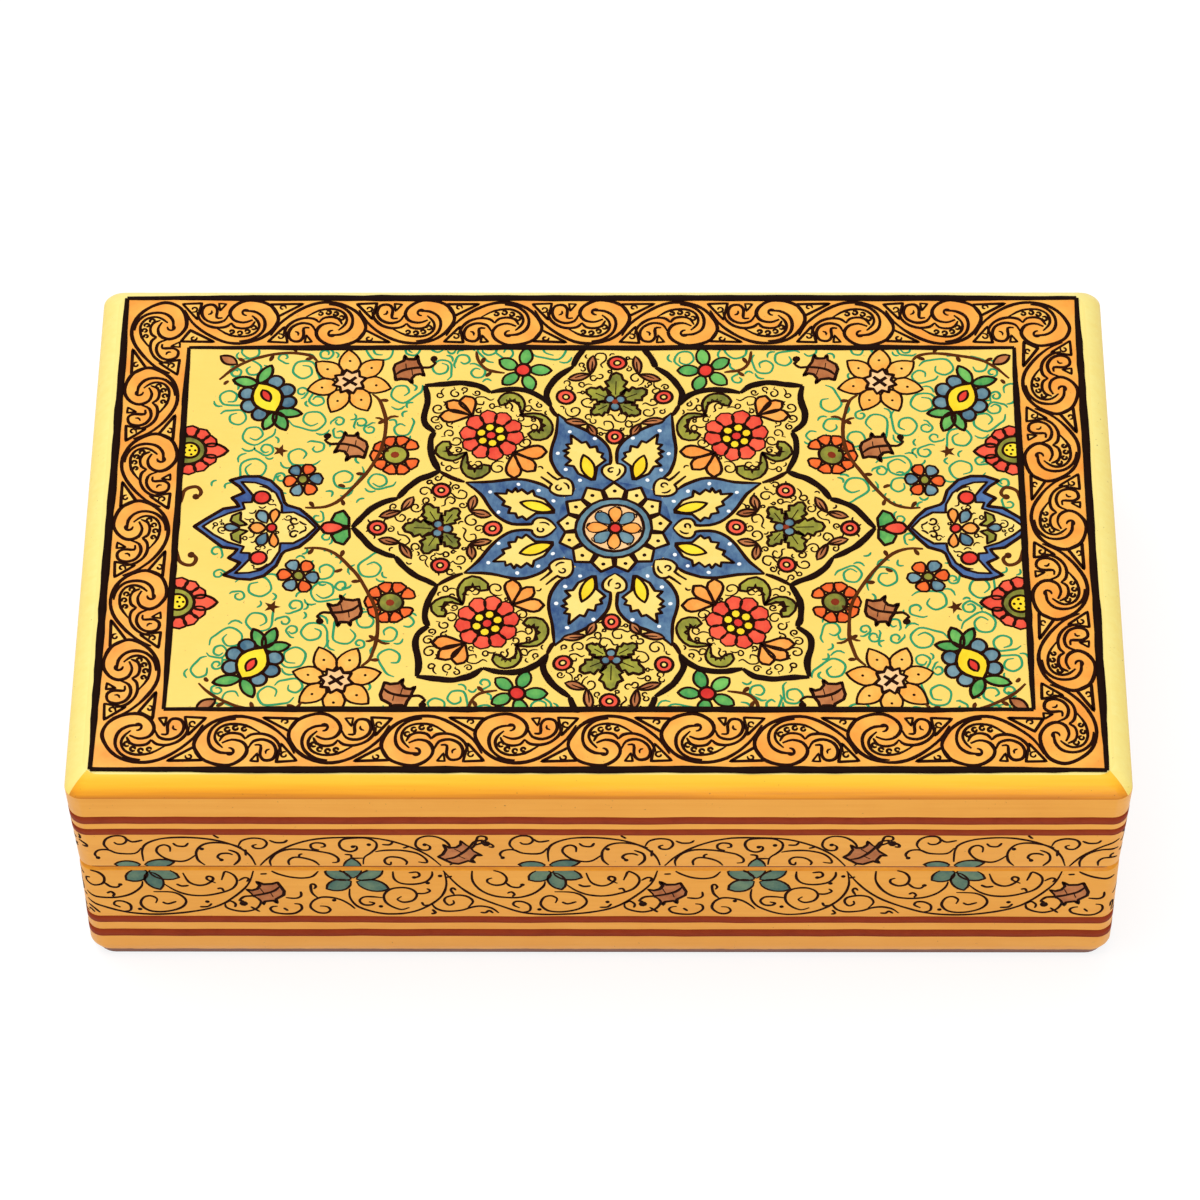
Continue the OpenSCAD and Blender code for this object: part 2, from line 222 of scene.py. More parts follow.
floor_mesh.from_pydata([(-4, -4, 0), (4, -4, 0), (4, 4, 0), (-4, 4, 0)], [], [(0, 1, 2, 3)])
floor_mesh.materials.append(floor_material)
floor = bpy.data.objects.new("floor", floor_mesh)
bpy.context.collection.objects.link(floor)

world = bpy.data.worlds.new("studio")
world.use_nodes = True
bpy.context.scene.world = world
sky = Recipe(world.node_tree)
ray = sky.node("ShaderNodeLightPath")
seen = sky.maths("MAXIMUM", ray, sky.maths(
    "MAXIMUM", Flow(sky, ray.socket.node.outputs["Is Glossy Ray"]),
    Flow(sky, ray.socket.node.outputs["Is Transmission Ray"])))
sky.node("ShaderNodeOutputWorld", {}, {"Surface": sky.node(
    "ShaderNodeBackground", {}, {"Color": (1, 1, 1, 1), "Strength": 0.62 + 0.38 * seen})})


def soft_lamp(name, place, width, power):
    """A square lamp that looks at the box."""
    lamp = bpy.data.lights.new(name, "AREA")
    lamp.size, lamp.energy = width, power
    thing = bpy.data.objects.new(name, lamp)
    thing.matrix_world = Matrix.Translation(place) @ Vector(place).to_track_quat("Z", "Y").to_matrix().to_4x4()
    bpy.context.collection.objects.link(thing)


soft_lamp("overhead_lamp", (-0.35, 0.25, 1.3), 1.1, 9)
soft_lamp("front_lamp", (0.4, -1.35, 0.8), 0.9, 5)
print("lamps ready")

# %% [markdown]
# ## Drawing with complex numbers
# A painter's marks are curves in a plane. A complex number is a point of the plane, a sum moves it, and a
# product turns and scales it, so every petal or curl is a short formula. A mark is a plain tuple: its kind,
# its paint, its points, its half width and whether it closes.

# %% Curves


def cis(angle):
    """The unit vector at an angle in degrees."""
    return cmath.rect(1, math.radians(angle))


def spiral(centre, start_r, end_r, start, end, power=1.0):
    """A curve round a centre, from one radius and angle to another."""
    count = max(5, int(abs(end - start) / (14 if max(start_r, end_r) > 1.8 else 22)))
    steps = [i / count for i in range(count + 1)]
    return [centre + (start_r + (end_r - start_r) * t ** power) * cis(start + (end - start) * t) for t in steps]


def circle(centre, radius):
    return spiral(centre, radius, radius, 0, 340)


def bow(first, last, rise, steps=8):
    """From first to last, standing out to the left by rise times the distance."""
    chord = last - first
    ts = [i / steps for i in range(steps + 1)]
    return [first + chord * t + 1j * chord * rise * 4 * t * (1 - t) for t in ts]


def smooth(points, closed=False, steps=5):
    """A soft curve through the points."""
    count = len(points)
    at = (lambda i: points[i % count]) if closed else (lambda i: points[max(0, min(count - 1, i))])
    curve = []
    for i in range(count if closed else count - 1):
        a, b, c, d = at(i - 1), at(i), at(i + 1), at(i + 2)
        for k in range(steps):
            t = k / steps
            curve.append(0.5 * (2 * b + (c - a) * t + (2 * a - 5 * b + 4 * c - d) * t * t
                                + (3 * b - a - 3 * c + d) * t ** 3))
    return curve if closed else curve + [points[-1]]


def petal(base, tip, half, belly=0.5, blunt=0.7, steps=7):
    """A petal's outline: belly is where it is widest, and a small blunt makes round ends."""
    axis, power = tip - base, math.log(0.5) / math.log(belly)
    side = 1j * axis / abs(axis)
    ts = [i / steps for i in range(steps + 1)]
    left = [base + axis * t + side * half * max(0, math.sin(math.pi * t ** power)) ** blunt for t in ts]
    right = [base + axis * t - side * half * max(0, math.sin(math.pi * t ** power)) ** blunt for t in ts]
    return left + right[-2:0:-1]


def jagged(base, tip, half, teeth=4, belly=0.45, depth=0.35):
    """A leaf's outline with teeth that point to its tip."""
    axis, power = tip - base, math.log(0.5) / math.log(belly)
    side = 1j * axis / abs(axis)
    left, right = [base], []
    for i in range(1, 2 * teeth):
        t = (i + (0.35 if i % 2 else -0.1)) / (2 * teeth)
        out = half * max(0, math.sin(math.pi * t ** power)) ** 0.7 * (1 if i % 2 else 1 - depth)
        left.append(base + axis * t + side * out)
        right.append(base + axis * t - side * out)
    return left + [tip] + right[::-1]


# %% Marks


PEN = 1.55                     # how hard the painter presses the pen


def line(paint, points, half=0.22, closed=False, level=1):
    return [("line", paint, list(points), half * (PEN if paint == "ink" else 1), closed, level)]


def fill(paint, points, level=1, fan=True):
    return [("fill", paint, list(points), 0, fan, level)]


def inked(paint, points, half=0.22, level=1, fan=True):
    """A filled shape with a pen line round it."""
    return fill(paint, points, level, fan) + line("ink", points, half, True, level)


def dot(paint, centre, radius, level=1):
    return fill(paint, circle(centre, radius)[::2] if radius < 1.5 else circle(centre, radius), level)


def ball(paint, centre, radius, level=1, half=0.2):
    """A dot with a pen line round it."""
    return dot(paint, centre, radius, level) + line("ink", circle(centre, radius), half, True, level)


def put(marks, at=0, turn=0, size=1, flip=False, raised=0):
    """The marks mirrored, scaled, turned, moved and raised by some levels."""
    turner = size * cis(turn)
    return [(kind, paint, [at + turner * (p.conjugate() if flip else p) for p in points], half, closed,
             level + raised) for kind, paint, points, half, closed, level in marks]


def around(count, marks, at=0, start=0):
    """The marks repeated round a centre."""
    return [m for k in range(count) for m in put(marks, at, start + 360 * k / count)]


def mirrored(marks):
    """The marks and their mirror image across the X axis."""
    return marks + put(marks, flip=True)


def crossed(marks):
    """The marks and their mirror image across the diagonal."""
    return marks + put(marks, turn=90, flip=True)


def quarters(marks):
    """The marks in all four quarters."""
    return mirrored(marks) + put(mirrored(marks), turn=180)


def petals(paint, turns, inner, outer, half, belly=0.6, blunt=0.5, at=0, level=1, pen=0.16):
    """Petals round a point, one for each direction."""
    return [m for turn in turns for m in put(
        inked(paint, petal(inner, outer, half, belly, blunt), pen, level), at, turn)]


print("drawing tools ready")

# %% [markdown]
# ## Filling gaps with curls
# Between the big motifs the painter filled every gap with small curls and dots. Placing them one by one would
# be dull, so seeded random spots are tried: a curl stays where no earlier mark is nearer than its own size.

# %% Gap filler


def inside(point, outline):
    hit = False
    for a, b in zip(outline, outline[1:] + outline[:1]):
        if (a.imag > point.imag) != (b.imag > point.imag):
            if point.real < a.real + (point.imag - a.imag) / (b.imag - a.imag) * (b.real - a.real):
                hit = not hit
    return hit


def curl(kind):
    """A few little shapes about one unit in radius."""
    if kind == 0:
        return [spiral(0, 0.98, 0.22, 0, 440, 0.9)]
    if kind == 1:
        return [spiral(0.5j, 0.48, 0.36, 250, -60) + spiral(-0.45j, 0.5, 0.3, 100, -190)[1:]]
    if kind == 2:
        return [[-1 - 0.5j] + spiral(0.1, 0.72, 0.3, 215, -150)]
    if kind == 3:
        return [bow(-0.95, 0.3 - 0.2j, 0.25) + spiral(0.35 + 0.3j, 0.5, 0.2, -95, 230)[1:]]
    if kind == 4:
        return [smooth([0.2 + 0.1j, 0.5 + 0.5j, -0.1 + 0.9j, -0.7 + 0.4j, -0.3 - 0.3j, 0.5 - 0.5j, 0.6 - 1j], steps=3)]
    return [bow(-0.9 - 0.3j, 0.9 + 0.2j, -0.35, 5)]


def scatter(outline, marks, sizes, seed, tries, make, near=0.45):
    """Calls make(size, dice) wherever there is room for it inside the outline, the big sizes first."""
    dice = random.Random(seed)
    solid = [p for m in marks for p in m[2]]
    rim = [p + (q - p) * k / 6 for p, q in zip(outline, outline[1:] + outline[:1]) for k in range(6)]
    covered = [(sum(m[2]) / len(m[2]), max(abs(p - m[2][0]) for p in m[2]), m[2]) for m in marks if m[0] == "fill"]
    xs, ys = [p.real for p in outline], [p.imag for p in outline]
    added, taken = [], []
    for size in sizes:
        for _ in range(tries):
            spot = complex(dice.uniform(min(xs), max(xs)), dice.uniform(min(ys), max(ys)))
            if not inside(spot, outline) or min(abs(spot - p) for p in rim) < size * 0.95 + 0.3:
                continue
            if taken and min(abs(spot - p) for p in taken) < size * 0.85 + 0.3:
                continue
            if min(abs(spot - p) for p in solid) < size * near + 0.25:
                continue
            if any(abs(spot - middle) < reach and inside(spot, shape) for middle, reach, shape in covered):
                continue
            placed = put(make(size, dice), spot, dice.uniform(0, 360), 1, dice.random() < 0.5)
            added += placed
            taken += [p for m in placed for p in m[2]] + [spot]
    return added


def pen_curl(half, kinds=(0, 1, 2, 3, 4)):
    """Makes the painter's small pen curls."""
    def make(size, dice):
        kind = dice.choice(kinds if size > 0.8 else (2, 5, 5, 5))
        return [m for shape in curl(kind) for m in line("ink", [size * p for p in shape], half, level=0)]
    return make


print("curls ready")

# %% [markdown]
# ## The paper skins
# Lid and base each wear a millimetre of paper and gesso. The skin is lofted through rings, which are
# rectangles with round corners, from the foot up over the rim and back down inside, so that it is one closed
# wall. It stays a little inside the CAD's box, which leaves room for the paint.

# %% Rings, lofts and pieces
EDGE = 0.1
hollow_x, hollow_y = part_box("base_left_board")[1][0] / MM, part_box("base_front_board")[1][1] / MM
board_x, board_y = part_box("base_right_board")[1][0] / MM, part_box("base_back_board")[1][1] / MM
hollow_x, hollow_y = -hollow_x, -hollow_y


def ring(half_x, half_y, radius, height, back=None, steps=8):
    """A rectangle with round corners; `back` is its reach on the hinge side."""
    loop = []
    for sx, sy, start in ((1, 1, 0), (-1, 1, 90), (-1, -1, 180), (1, -1, 270)):
        reach = half_y if back is None or sy < 0 else back
        for i in range(steps + 1):
            spot = complex(sx * (half_x - radius), sy * (reach - radius)) + radius * cis(start + 90 * i / steps)
            loop.append(Vector((spot.real, spot.imag, height)) * MM)
    return loop


def loft(name, rings, closed):
    """A skin through rings; when it isn't closed its first and last ring are capped."""
    mesh = bmesh.new()
    rows = [[mesh.verts.new(p) for p in loop] for loop in rings]
    for low, high in zip(rows, rows[1:] + (rows[:1] if closed else [])):
        for i in range(len(low)):
            j = (i + 1) % len(low)
            mesh.faces.new((low[i], low[j], high[j], high[i]))
    if not closed:
        mesh.faces.new(rows[0][::-1])
        mesh.faces.new(rows[-1])
    bmesh.ops.recalc_face_normals(mesh, faces=mesh.faces)
    return plain(name, mesh)


def plain(name, mesh, angle=32):
    """A finished mesh, smooth except at sharp edges."""
    data = bpy.data.meshes.new(name)
    mesh.to_mesh(data)
    mesh.free()
    data.shade_smooth()
    data.set_sharp_from_angle(angle=math.radians(angle))
    return data


def settle(name, data, body, material, stands_for=()):
    """Makes a piece of a mesh and hands it to its body."""
    data.materials.clear()
    data.materials.append(material)
    thing = bpy.data.objects.new(name, data)
    bpy.context.collection.objects.link(thing)
    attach(thing, body)
    if stands_for:
        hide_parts(*stands_for)
    print(name, len(data.polygons), "faces")
    return thing


def carve(data, cutters):
    """The mesh with the cutters' shapes taken out of it."""
    thing = bpy.data.objects.new("blank", data)
    bpy.context.collection.objects.link(thing)
    for cutter in cutters:
        tool = bpy.data.objects.new("tool", cutter)
        bpy.context.collection.objects.link(tool)
        cut = thing.modifiers.new("cut", "BOOLEAN")
        cut.operation, cut.solver, cut.object = "DIFFERENCE", "EXACT", tool
        bpy.context.view_layer.update()
        result = bpy.data.meshes.new_from_object(thing.evaluated_get(bpy.context.evaluated_depsgraph_get()))
        thing.modifiers.clear()
        thing.data = result
        bpy.data.objects.remove(tool)
    bpy.data.objects.remove(thing)
    result.set_sharp_from_angle(angle=math.radians(32))
    return result


def block(low, high):
    mesh = bmesh.new()
    middle, size = (Vector(low) + Vector(high)) / 2 * MM, (Vector(high) - Vector(low)) * MM
    bmesh.ops.create_cube(mesh, size=1, matrix=Matrix.Translation(middle) @ Matrix.Diagonal(size).to_4x4())
    return plain("block", mesh)


def rod(centre, radius, length):
    """A round bar along X."""
    mesh = bmesh.new()
    bmesh.ops.create_cone(mesh, cap_ends=True, segments=32, radius1=radius * MM, radius2=radius * MM,
                          depth=length * MM, matrix=Matrix.Translation(Vector(centre) * MM)
                          @ Matrix.Rotation(math.pi / 2, 4, "Y"))
    return plain("rod", mesh)


# %% [markdown]
# The hinges are let into both rims at the back, so the skins get the same pockets as the wood: a flat bed for
# each leaf and a round trough for the knuckles. A Boolean takes them out.

# %% Hinge pockets
axis_y, axis_z = [c / MM for c in frame["joints"][0]["pos_m"][1:]]
pockets = {"base": [], "lid": []}
for body, low, high in (("base", -1.1, 2), ("lid", -2, 1.1)):
    for side in ("left", "right"):
        leaf_low, leaf_high = room(side + "_hinge_" + body + "_leaf")
        middle = (leaf_low.x + leaf_high.x) / 2
        pockets[body].append(block((leaf_low.x - 0.1, leaf_low.y - 0.1, axis_z + low),
                                   (leaf_high.x + 0.1, axis_y + 0.2, axis_z + high)))
        pockets[body].append(rod((middle, axis_y, axis_z), 1.87, leaf_high.x - leaf_low.x + 1.5))
print("pockets", {body: len(tools) for body, tools in pockets.items()})

# %% [markdown]
# ## The painted ground
# Under the flowers lies a ground of yellow and ochre, laid on with a broad brush. The masks below read the
# place on the box: a pale field, an orange band between the two black frames, a bevel that is painted darker
# towards its foot and dull orange in front as painted shade and stays pale elsewhere, ochre sides that are a
# deeper ground and partly painted shade, and a brighter edge along the seam with a painted shadow under the
# lid. Stretched noise gives the streaks.

# %% Ground
FRAME_X, FRAME_Y = 83.1, 45.3      # where the scroll border's inner black line runs
OUTER_X, OUTER_Y = 96.3, 59.0      # and its outer one
RIM = 1.3                          # width of the orange chamfer along the base's rim


def ground_material():
    material, r = finish("painted_ground", Roughness=0.42, Specular_IOR_Level=0.22, Coat_Weight=0.14,
                         Coat_Roughness=0.12)
    split = r.node("ShaderNodeSeparateXYZ", {}, {0: r.place})
    x, y, z = (Flow(r, split.socket.node.outputs[i]) * (1 / MM) for i in range(3))
    across, along = r.maths("ABSOLUTE", x), r.maths("ABSOLUTE", y)
    patches = r.grain(r.place, 0.09, detail=4.0)
    brush = r.grain(r.place, 0.5, (0.05, 1.6, 1.6), 3.0, 0.6)
    fine = r.grain(r.place, 1.2, (0.25, 1, 1), 4.0, 0.7)
    unevenness = r.clip(patches * 0.9 + fine * 0.5 - 0.2)

    field = r.mix(rgb(254, 220, 112), rgb(250, 206, 94), unevenness)
    wash = r.mix(rgb(253, 184, 74), rgb(243, 146, 44), r.clip(r.grain(r.place, 0.16, detail=5.0) * 2.4 - 0.75))
    band = r.maths("MAXIMUM", across - FRAME_X, r.maths("ABSOLUTE", y - 0.5) - FRAME_Y) > 0
    top = r.mix(field, wash, band)
    rim = r.mix(rgb(254, 234, 140), rgb(252, 226, 128), unevenness)
    outside = r.maths("MAXIMUM", across - OUTER_X, along - OUTER_Y) > 0
    top = r.mix(top, rim, outside)

    # Painted shade: every bevel is painted darker towards its foot, where its bulging curve turns from the light.
    height = r.clip((z - shoulder_z) * (1 / (top_z - shoulder_z)))
    streak = r.clip(height + (brush - 0.5) * 0.5)
    # Painted shade: the front bevel alone runs from dull orange at its foot to bright yellow at its top, as the shade
    # of the side that faces away from the light; the scuffs mixed in below are real wear.
    front_bevel_shade_and_wear = r.node("ShaderNodeValToRGB", {"stops": [
        (0.0, rgb(204, 122, 26)), (1.0, rgb(255, 206, 60)), (0.26, rgb(242, 156, 20)), (0.6, rgb(255, 188, 36))]},
        {0: streak})
    scuffs = r.clip((r.grain(r.place, 0.22, (0.35, 1, 1), 6.0, 0.75) - 0.60) * 9.0) * r.clip(1 - height * 2.6)
    front_bevel_shade_and_wear = r.mix(front_bevel_shade_and_wear, rgb(150, 92, 34), scuffs * 0.55)
    front = ((y + wide_y) < (wide_x - across)) * (y < 0)
    bevel = r.mix(r.mix(rgb(253, 236, 142), rgb(250, 222, 112), r.clip(1 - height + (brush - 0.5))), front_bevel_shade_and_wear, front)
    cover = r.mix(bevel, top, z > (top_z - 0.35))

    # The walls' ochre is a deeper ground paint, and how much darker it is than the top is partly painted shade.
    ochre = r.mix(rgb(248, 178, 74), rgb(234, 156, 56), r.clip(brush * 0.9 + patches * 0.7 - 0.3))
    grime = r.clip((r.grain(r.place, 0.7, (0.4, 1, 1), 5.0, 0.8) - 0.66) * 9.0)
    ochre = r.mix(ochre, rgb(150, 88, 38), grime * 0.5)
    seam = r.mix(rgb(248, 168, 28), rgb(218, 124, 16), r.clip(fine * 1.6 - 0.35))
    # Painted shadow: the top of the seam band and the base's rim are painted dark brown, as the shadow under the lid's
    # edge.
    seam = r.mix(seam, rgb(112, 48, 14), z > (rim_z - 0.78))
    ochre = r.mix(ochre, seam, (z > (rim_z - RIM - 0.1)) * (z < (rim_z + 0.02)))
    foot = r.clip((2.3 - z) * 2.2 + (fine - 0.5) * 2.0)
    ochre = r.mix(ochre, rgb(120, 60, 26), foot)
    colour = r.mix(ochre, cover, z > (shoulder_z - 0.05))
    pits = r.clip((r.grain(r.place, 1.6, detail=2.0) - 0.735) * 30.0)
    colour = r.mix(colour, rgb(120, 70, 34), pits * 0.6)
    gloss = 0.36 + 0.16 * patches + 0.1 * scuffs
    bump = r.node("ShaderNodeBump", {}, {"Strength": 0.25, "Distance": 0.00004,
                                         "Height": brush * 0.6 + fine * 0.5 - pits * 2.0})
    feed(r, Base_Color=colour, Roughness=gloss, Normal=bump)
    return material


ground = ground_material()
print("ground", len(ground.node_tree.nodes), "nodes")

# %% [markdown]
# The base's skin stands on a foot that draws in a little and has a small chamfer at its rim, larger at the
# back where the lid needs room to turn. The lid's skin leans out to its shoulder and its bevel bulges.

# %% Base skin
x0, y0 = seam_x - EDGE, seam_y - EDGE
base_rings = [
    ring(x0 - 0.72, y0 - 0.72, 4.2, base_low.z), ring(x0 - 0.66, y0 - 0.66, 4.2, base_low.z + 0.25),
    ring(x0 - 0.12, y0 - 0.12, 3.2, base_low.z + 2.5), ring(x0, y0, 3, base_low.z + 3.4),
    ring(x0, y0, 3, rim_z - RIM - 0.2), ring(x0 - 0.08, y0 - 0.08, 3, rim_z - RIM + 0.05),
    ring(x0 - RIM + 0.15, y0 - RIM + 0.15, 3, rim_z - 0.08, y0 - RIM - 0.05),
    ring(x0 - RIM - 0.05, y0 - RIM - 0.05, 3, rim_z - 0.01, y0 - RIM - 0.3),
    ring(hollow_x + 0.15, hollow_y + 0.15, 0.5, rim_z - 0.01), ring(hollow_x, hollow_y, 0.4, rim_z - 0.15),
    ring(hollow_x, hollow_y, 0.4, rim_z - 0.99), ring(board_x, board_y, 3.9, rim_z - 0.99),
    ring(board_x, board_y, 3.9, base_low.z)]
base_skin = carve(loft("base_skin", base_rings, True), pockets["base"])
settle("base_skin", base_skin, "base", ground, ["base_paper_skin"])

# %% Lid skin
BEVEL, RISE, BULGE = wide_x - 97.3, top_z - shoulder_z, 0.45


def bevel_point(t):
    """Set-back and height of the bevel's bulging curve, as in the CAD."""
    chord, out = math.hypot(BEVEL, RISE), 4 * BULGE * t * (1 - t)
    return BEVEL * t - out * RISE / chord, RISE * t + out * BEVEL / chord


lean = wide_x - seam_x
lid_rings = [ring(board_x - 2.8, board_y - 2.8, 1.2, top_z - 1), ring(board_x, board_y, 3.9, top_z - 3.8),
             ring(board_x, board_y, 3.9, lid_z + 0.99), ring(hollow_x, hollow_y, 0.4, lid_z + 0.99),
             ring(hollow_x, hollow_y, 0.4, lid_z + 0.15), ring(hollow_x + 0.15, hollow_y + 0.15, 0.5, lid_z + 0.01),
             ring(x0 - 0.12, y0 - 0.12, 3, lid_z + 0.01, y0 - 1.45), ring(x0, y0, 3, lid_z + 0.12, y0 - 1.3),
             ring(x0 + 0.05, y0 + 0.05, 3, lid_z + 1.45), ring(x0 + lean, y0 + lean, 3.4, shoulder_z - 0.12)]
for k in range(9):
    inset, rise = bevel_point(max(0.015, k / 8))
    soft = 0.06 if k in (0, 8) else 0
    lid_rings.append(ring(x0 + lean - inset - soft, y0 + lean - inset - soft, 3.4,
                          min(shoulder_z + rise, top_z - EDGE - soft * 0.3)))
lid_rings.append(ring(x0 + lean - BEVEL - 0.35, y0 + lean - BEVEL - 0.35, 3.3, top_z - EDGE))
lid_skin = carve(loft("lid_skin", lid_rings, False), pockets["lid"])
settle("lid_skin", lid_skin, "lid", ground, ["lid_paper_skin"])

# %% [markdown]
# ## Paints
# Each paint is thinned with water, so it is darker where it pooled and lighter where the brush lifted. The
# material mixes a light and a dark tone by noise, by a chance value that each mark carries and by how near a
# spot is to the mark's edge. The varnish over it is the same all over.

# %% Paints
PAINTS = {                     # light tone and dark tone of each paint
    "coral": ((250, 98, 66), (226, 62, 44)), "red": ((240, 64, 46), (206, 36, 32)),
    "orange": ((255, 172, 78), (242, 138, 48)), "flame": ((250, 116, 42), (226, 80, 24)),
    "ochre": ((255, 196, 92), (250, 164, 62)), "peach": ((254, 208, 150), (248, 188, 124)),
    "yellow": ((255, 228, 48), (252, 204, 20)), "cream": ((254, 224, 128), (250, 212, 106)),
    "white": ((255, 255, 252), (240, 244, 244)), "blue": ((106, 142, 168), (34, 66, 118)),
    "slate": ((122, 156, 164), (58, 98, 122)), "navy": ((84, 118, 166), (28, 52, 122)),
    "olive": ((172, 168, 56), (94, 98, 36)), "leaf": ((120, 194, 92), (48, 138, 70)),
    "sage": ((110, 136, 108), (58, 98, 90)), "rust": ((202, 128, 74), (154, 82, 40)),
    "bole": ((92, 46, 16), (64, 28, 8)), "maroon": ((152, 60, 32), (128, 46, 26)),
    "teal": ((44, 156, 102), (16, 128, 84)), "straw": ((255, 200, 96), (250, 182, 78)),
    "ink": ((40, 15, 6), (24, 7, 1)), "frame": ((30, 14, 8), (20, 8, 4))}


def paint_material(name, light, dark):
    matt = name in ("ink", "frame", "bole", "maroon")
    material, r = finish("paint_" + name, Roughness=0.5 if matt else 0.42, Specular_IOR_Level=0.02 if matt else 0.12,
                         Coat_Weight=0.0 if matt else 0.06, Coat_Roughness=0.12)
    tone = r.node("ShaderNodeAttribute", {"attribute_name": "tone"}, {}, "Fac")
    edge = r.node("ShaderNodeAttribute", {"attribute_name": "edge"}, {}, "Fac")
    pool, streak = r.grain(r.place, 0.3, detail=3.0), r.grain(r.place, 1.4, (1, 0.4, 1), 4.0, 0.65)
    depth = r.clip(pool * 1.7 + streak * 0.9 + tone * 0.5 + edge * 0.3 - 1.25)
    bump = r.node("ShaderNodeBump", {}, {"Strength": 0.2, "Distance": 0.00003, "Height": streak})
    feed(r, Base_Color=r.mix(rgb(*light), rgb(*dark), depth), Normal=bump)
    return material


paint_of = {name: paint_material(name, light, dark) for name, (light, dark) in PAINTS.items()}
print(len(paint_of), "paints")

# %% [markdown]
# ## From marks to meshes
# A filled mark becomes a thin slab: a raised face, a fan of triangles from its middle where it is round, and a
# wall round it. A line follows a path, so a Geometry Nodes tree sweeps a square brush section along it and
# presses it flat to the height of the paint. Lines are swept on a flat sheet first and laid on the box after.

# %% Brush stroke tree


def brush_tree():
    tree = bpy.data.node_groups.new("brush_stroke", "GeometryNodeTree")
    face = tree.interface
    face.new_socket("Path", in_out="INPUT", socket_type="NodeSocketGeometry")
    face.new_socket("Brush size", in_out="INPUT", socket_type="NodeSocketFloat")
    face.new_socket("Paint", in_out="INPUT", socket_type="NodeSocketMaterial")
    face.new_socket("Stroke", in_out="OUTPUT", socket_type="NodeSocketGeometry")
    r = Recipe(tree)
    path = r.node("NodeGroupInput")
    size, paint = (Flow(r, path.socket.node.outputs[i]) for i in (1, 2))
    curve = r.node("GeometryNodeMeshToCurve", {}, {0: path})
    curve = r.node("GeometryNodeSetCurveNormal", {"mode": "Z_UP"}, {0: curve})
    width = r.node("GeometryNodeInputNamedAttribute", {"data_type": "FLOAT"}, {"Name": "half_width"})
    section = r.node("GeometryNodeCurvePrimitiveQuadrilateral", {}, {0: size, 1: size})
    stroke = r.node("GeometryNodeCurveToMesh", {}, {0: curve, 1: section, "Scale": width, "Fill Caps": True})
    spot = r.node("GeometryNodeInputPosition")
    height = r.node("GeometryNodeInputNamedAttribute", {"data_type": "FLOAT"}, {"Name": "paint_top"})
    roof = r.node("ShaderNodeCombineXYZ", {}, {0: 10.0, 1: 10.0, 2: height})
    spot = r.node("ShaderNodeVectorMath", {"operation": "MINIMUM"}, {0: spot, 1: roof})
    spot = r.node("ShaderNodeVectorMath", {"operation": "MAXIMUM"}, {0: spot, 1: (-10, -10, -0.00001)})
    stroke = r.node("GeometryNodeSetPosition", {}, {0: stroke, 2: spot})
    stroke = r.node("GeometryNodeRealizeInstances", {}, {0: stroke})
    stroke = r.node("GeometryNodeSetMaterial", {}, {0: stroke, 2: paint})
    r.node("NodeGroupOutput", {}, {0: stroke})
    return tree


brush = brush_tree()
print("brush tree", len(brush.nodes), "nodes")

# %% Laying marks on the box
SHEET = 1000                   # how far apart the four walls lie on the painter's unrolled sheet


def hand(point, calm=1.0):
    """The small unsteadiness of a hand, the same for marks that touch."""
    slow = noise.noise_vector(Vector((point.real / 8, point.imag / 8, 3.1)))
    fast = noise.noise_vector(Vector((point.real / 1.7, point.imag / 1.7, 7.7)))
    return point + calm * (0.42 * complex(slow.x, slow.y) + 0.07 * complex(fast.x, fast.y))


def lay_top(x, y, height):
    return Vector((x, y, top_z - EDGE + height)) * MM


def lay_wall(x, z, height):
    """A point of the unrolled sheet on its wall, wrapped round the corners."""
    wall = round(x / SHEET)
    x -= wall * SHEET
    out = max(0, (z - lid_z) / (shoulder_z - lid_z)) * lean if z > seam_z else 0
    long, deep = ((seam_x, seam_y), (seam_y, seam_x))[wall % 2]
    radius = 3 + out / 2
    flat, depth = long - EDGE + out - radius, deep - EDGE + out
    turn = max(0.0, abs(x) - flat) / radius
    side = min(abs(x), flat) + (radius + height) * math.sin(turn)
    spot = complex(math.copysign(side, x), -(depth - radius) - (radius + height) * math.cos(turn)) * 1j ** wall
    return Vector((spot.real, spot.imag, z)) * MM


LEVEL = 0.012                  # each level of paint covers the one below it by this much


def fill_slabs(marks, lay, seed):
    """Closed slabs of paint, with their tone, edge and sheet place."""
    dice = random.Random(seed)
    verts, faces, tones, edges, sheet = [], [], [], [], []
    for k, (_, _, points, _, fan, level) in enumerate(marks):
        area = sum((a.conjugate() * b).imag for a, b in zip(points, points[1:] + points[:1]))
        points = points if area > 0 else points[::-1]
        height = LEVEL * level + 0.002 * (k % 5)
        count, first, tone = len(points), len(verts), dice.random()
        middle = sum(points) / count
        rows = [(p, -0.01, 1.0) for p in points] + [(p, height, 1.0) for p in points]
        if fan:
            rows.append((middle, height, 0.0))
            faces += [(first + count + i, first + count + (i + 1) % count, first + 2 * count) for i in range(count)]
        else:
            faces.append(tuple(first + count + i for i in range(count)))
        faces.append(tuple(first + i for i in range(count))[::-1])
        faces += [(first + i, first + (i + 1) % count, first + count + (i + 1) % count, first + count + i)
                  for i in range(count)]
        for p, rise, edge in rows:
            verts.append(lay(p.real, p.imag, rise))
            sheet.append(p)
            tones.append(tone)
            edges.append(edge if fan else 0.5)
    data = bpy.data.meshes.new("slabs")
    data.from_pydata(verts, [], faces)
    for name, values in (("tone", tones), ("edge", edges)):
        data.attributes.new(name, "FLOAT", "POINT").data.foreach_set("value", values)
    return data, sheet


def bends(points):
    """Whether a line has a sharp corner."""
    steps = [q - p for p, q in zip(points, points[1:])]
    return any(abs(cmath.phase(b / a)) > 0.9 for a, b in zip(steps, steps[1:]) if abs(a) > 0)


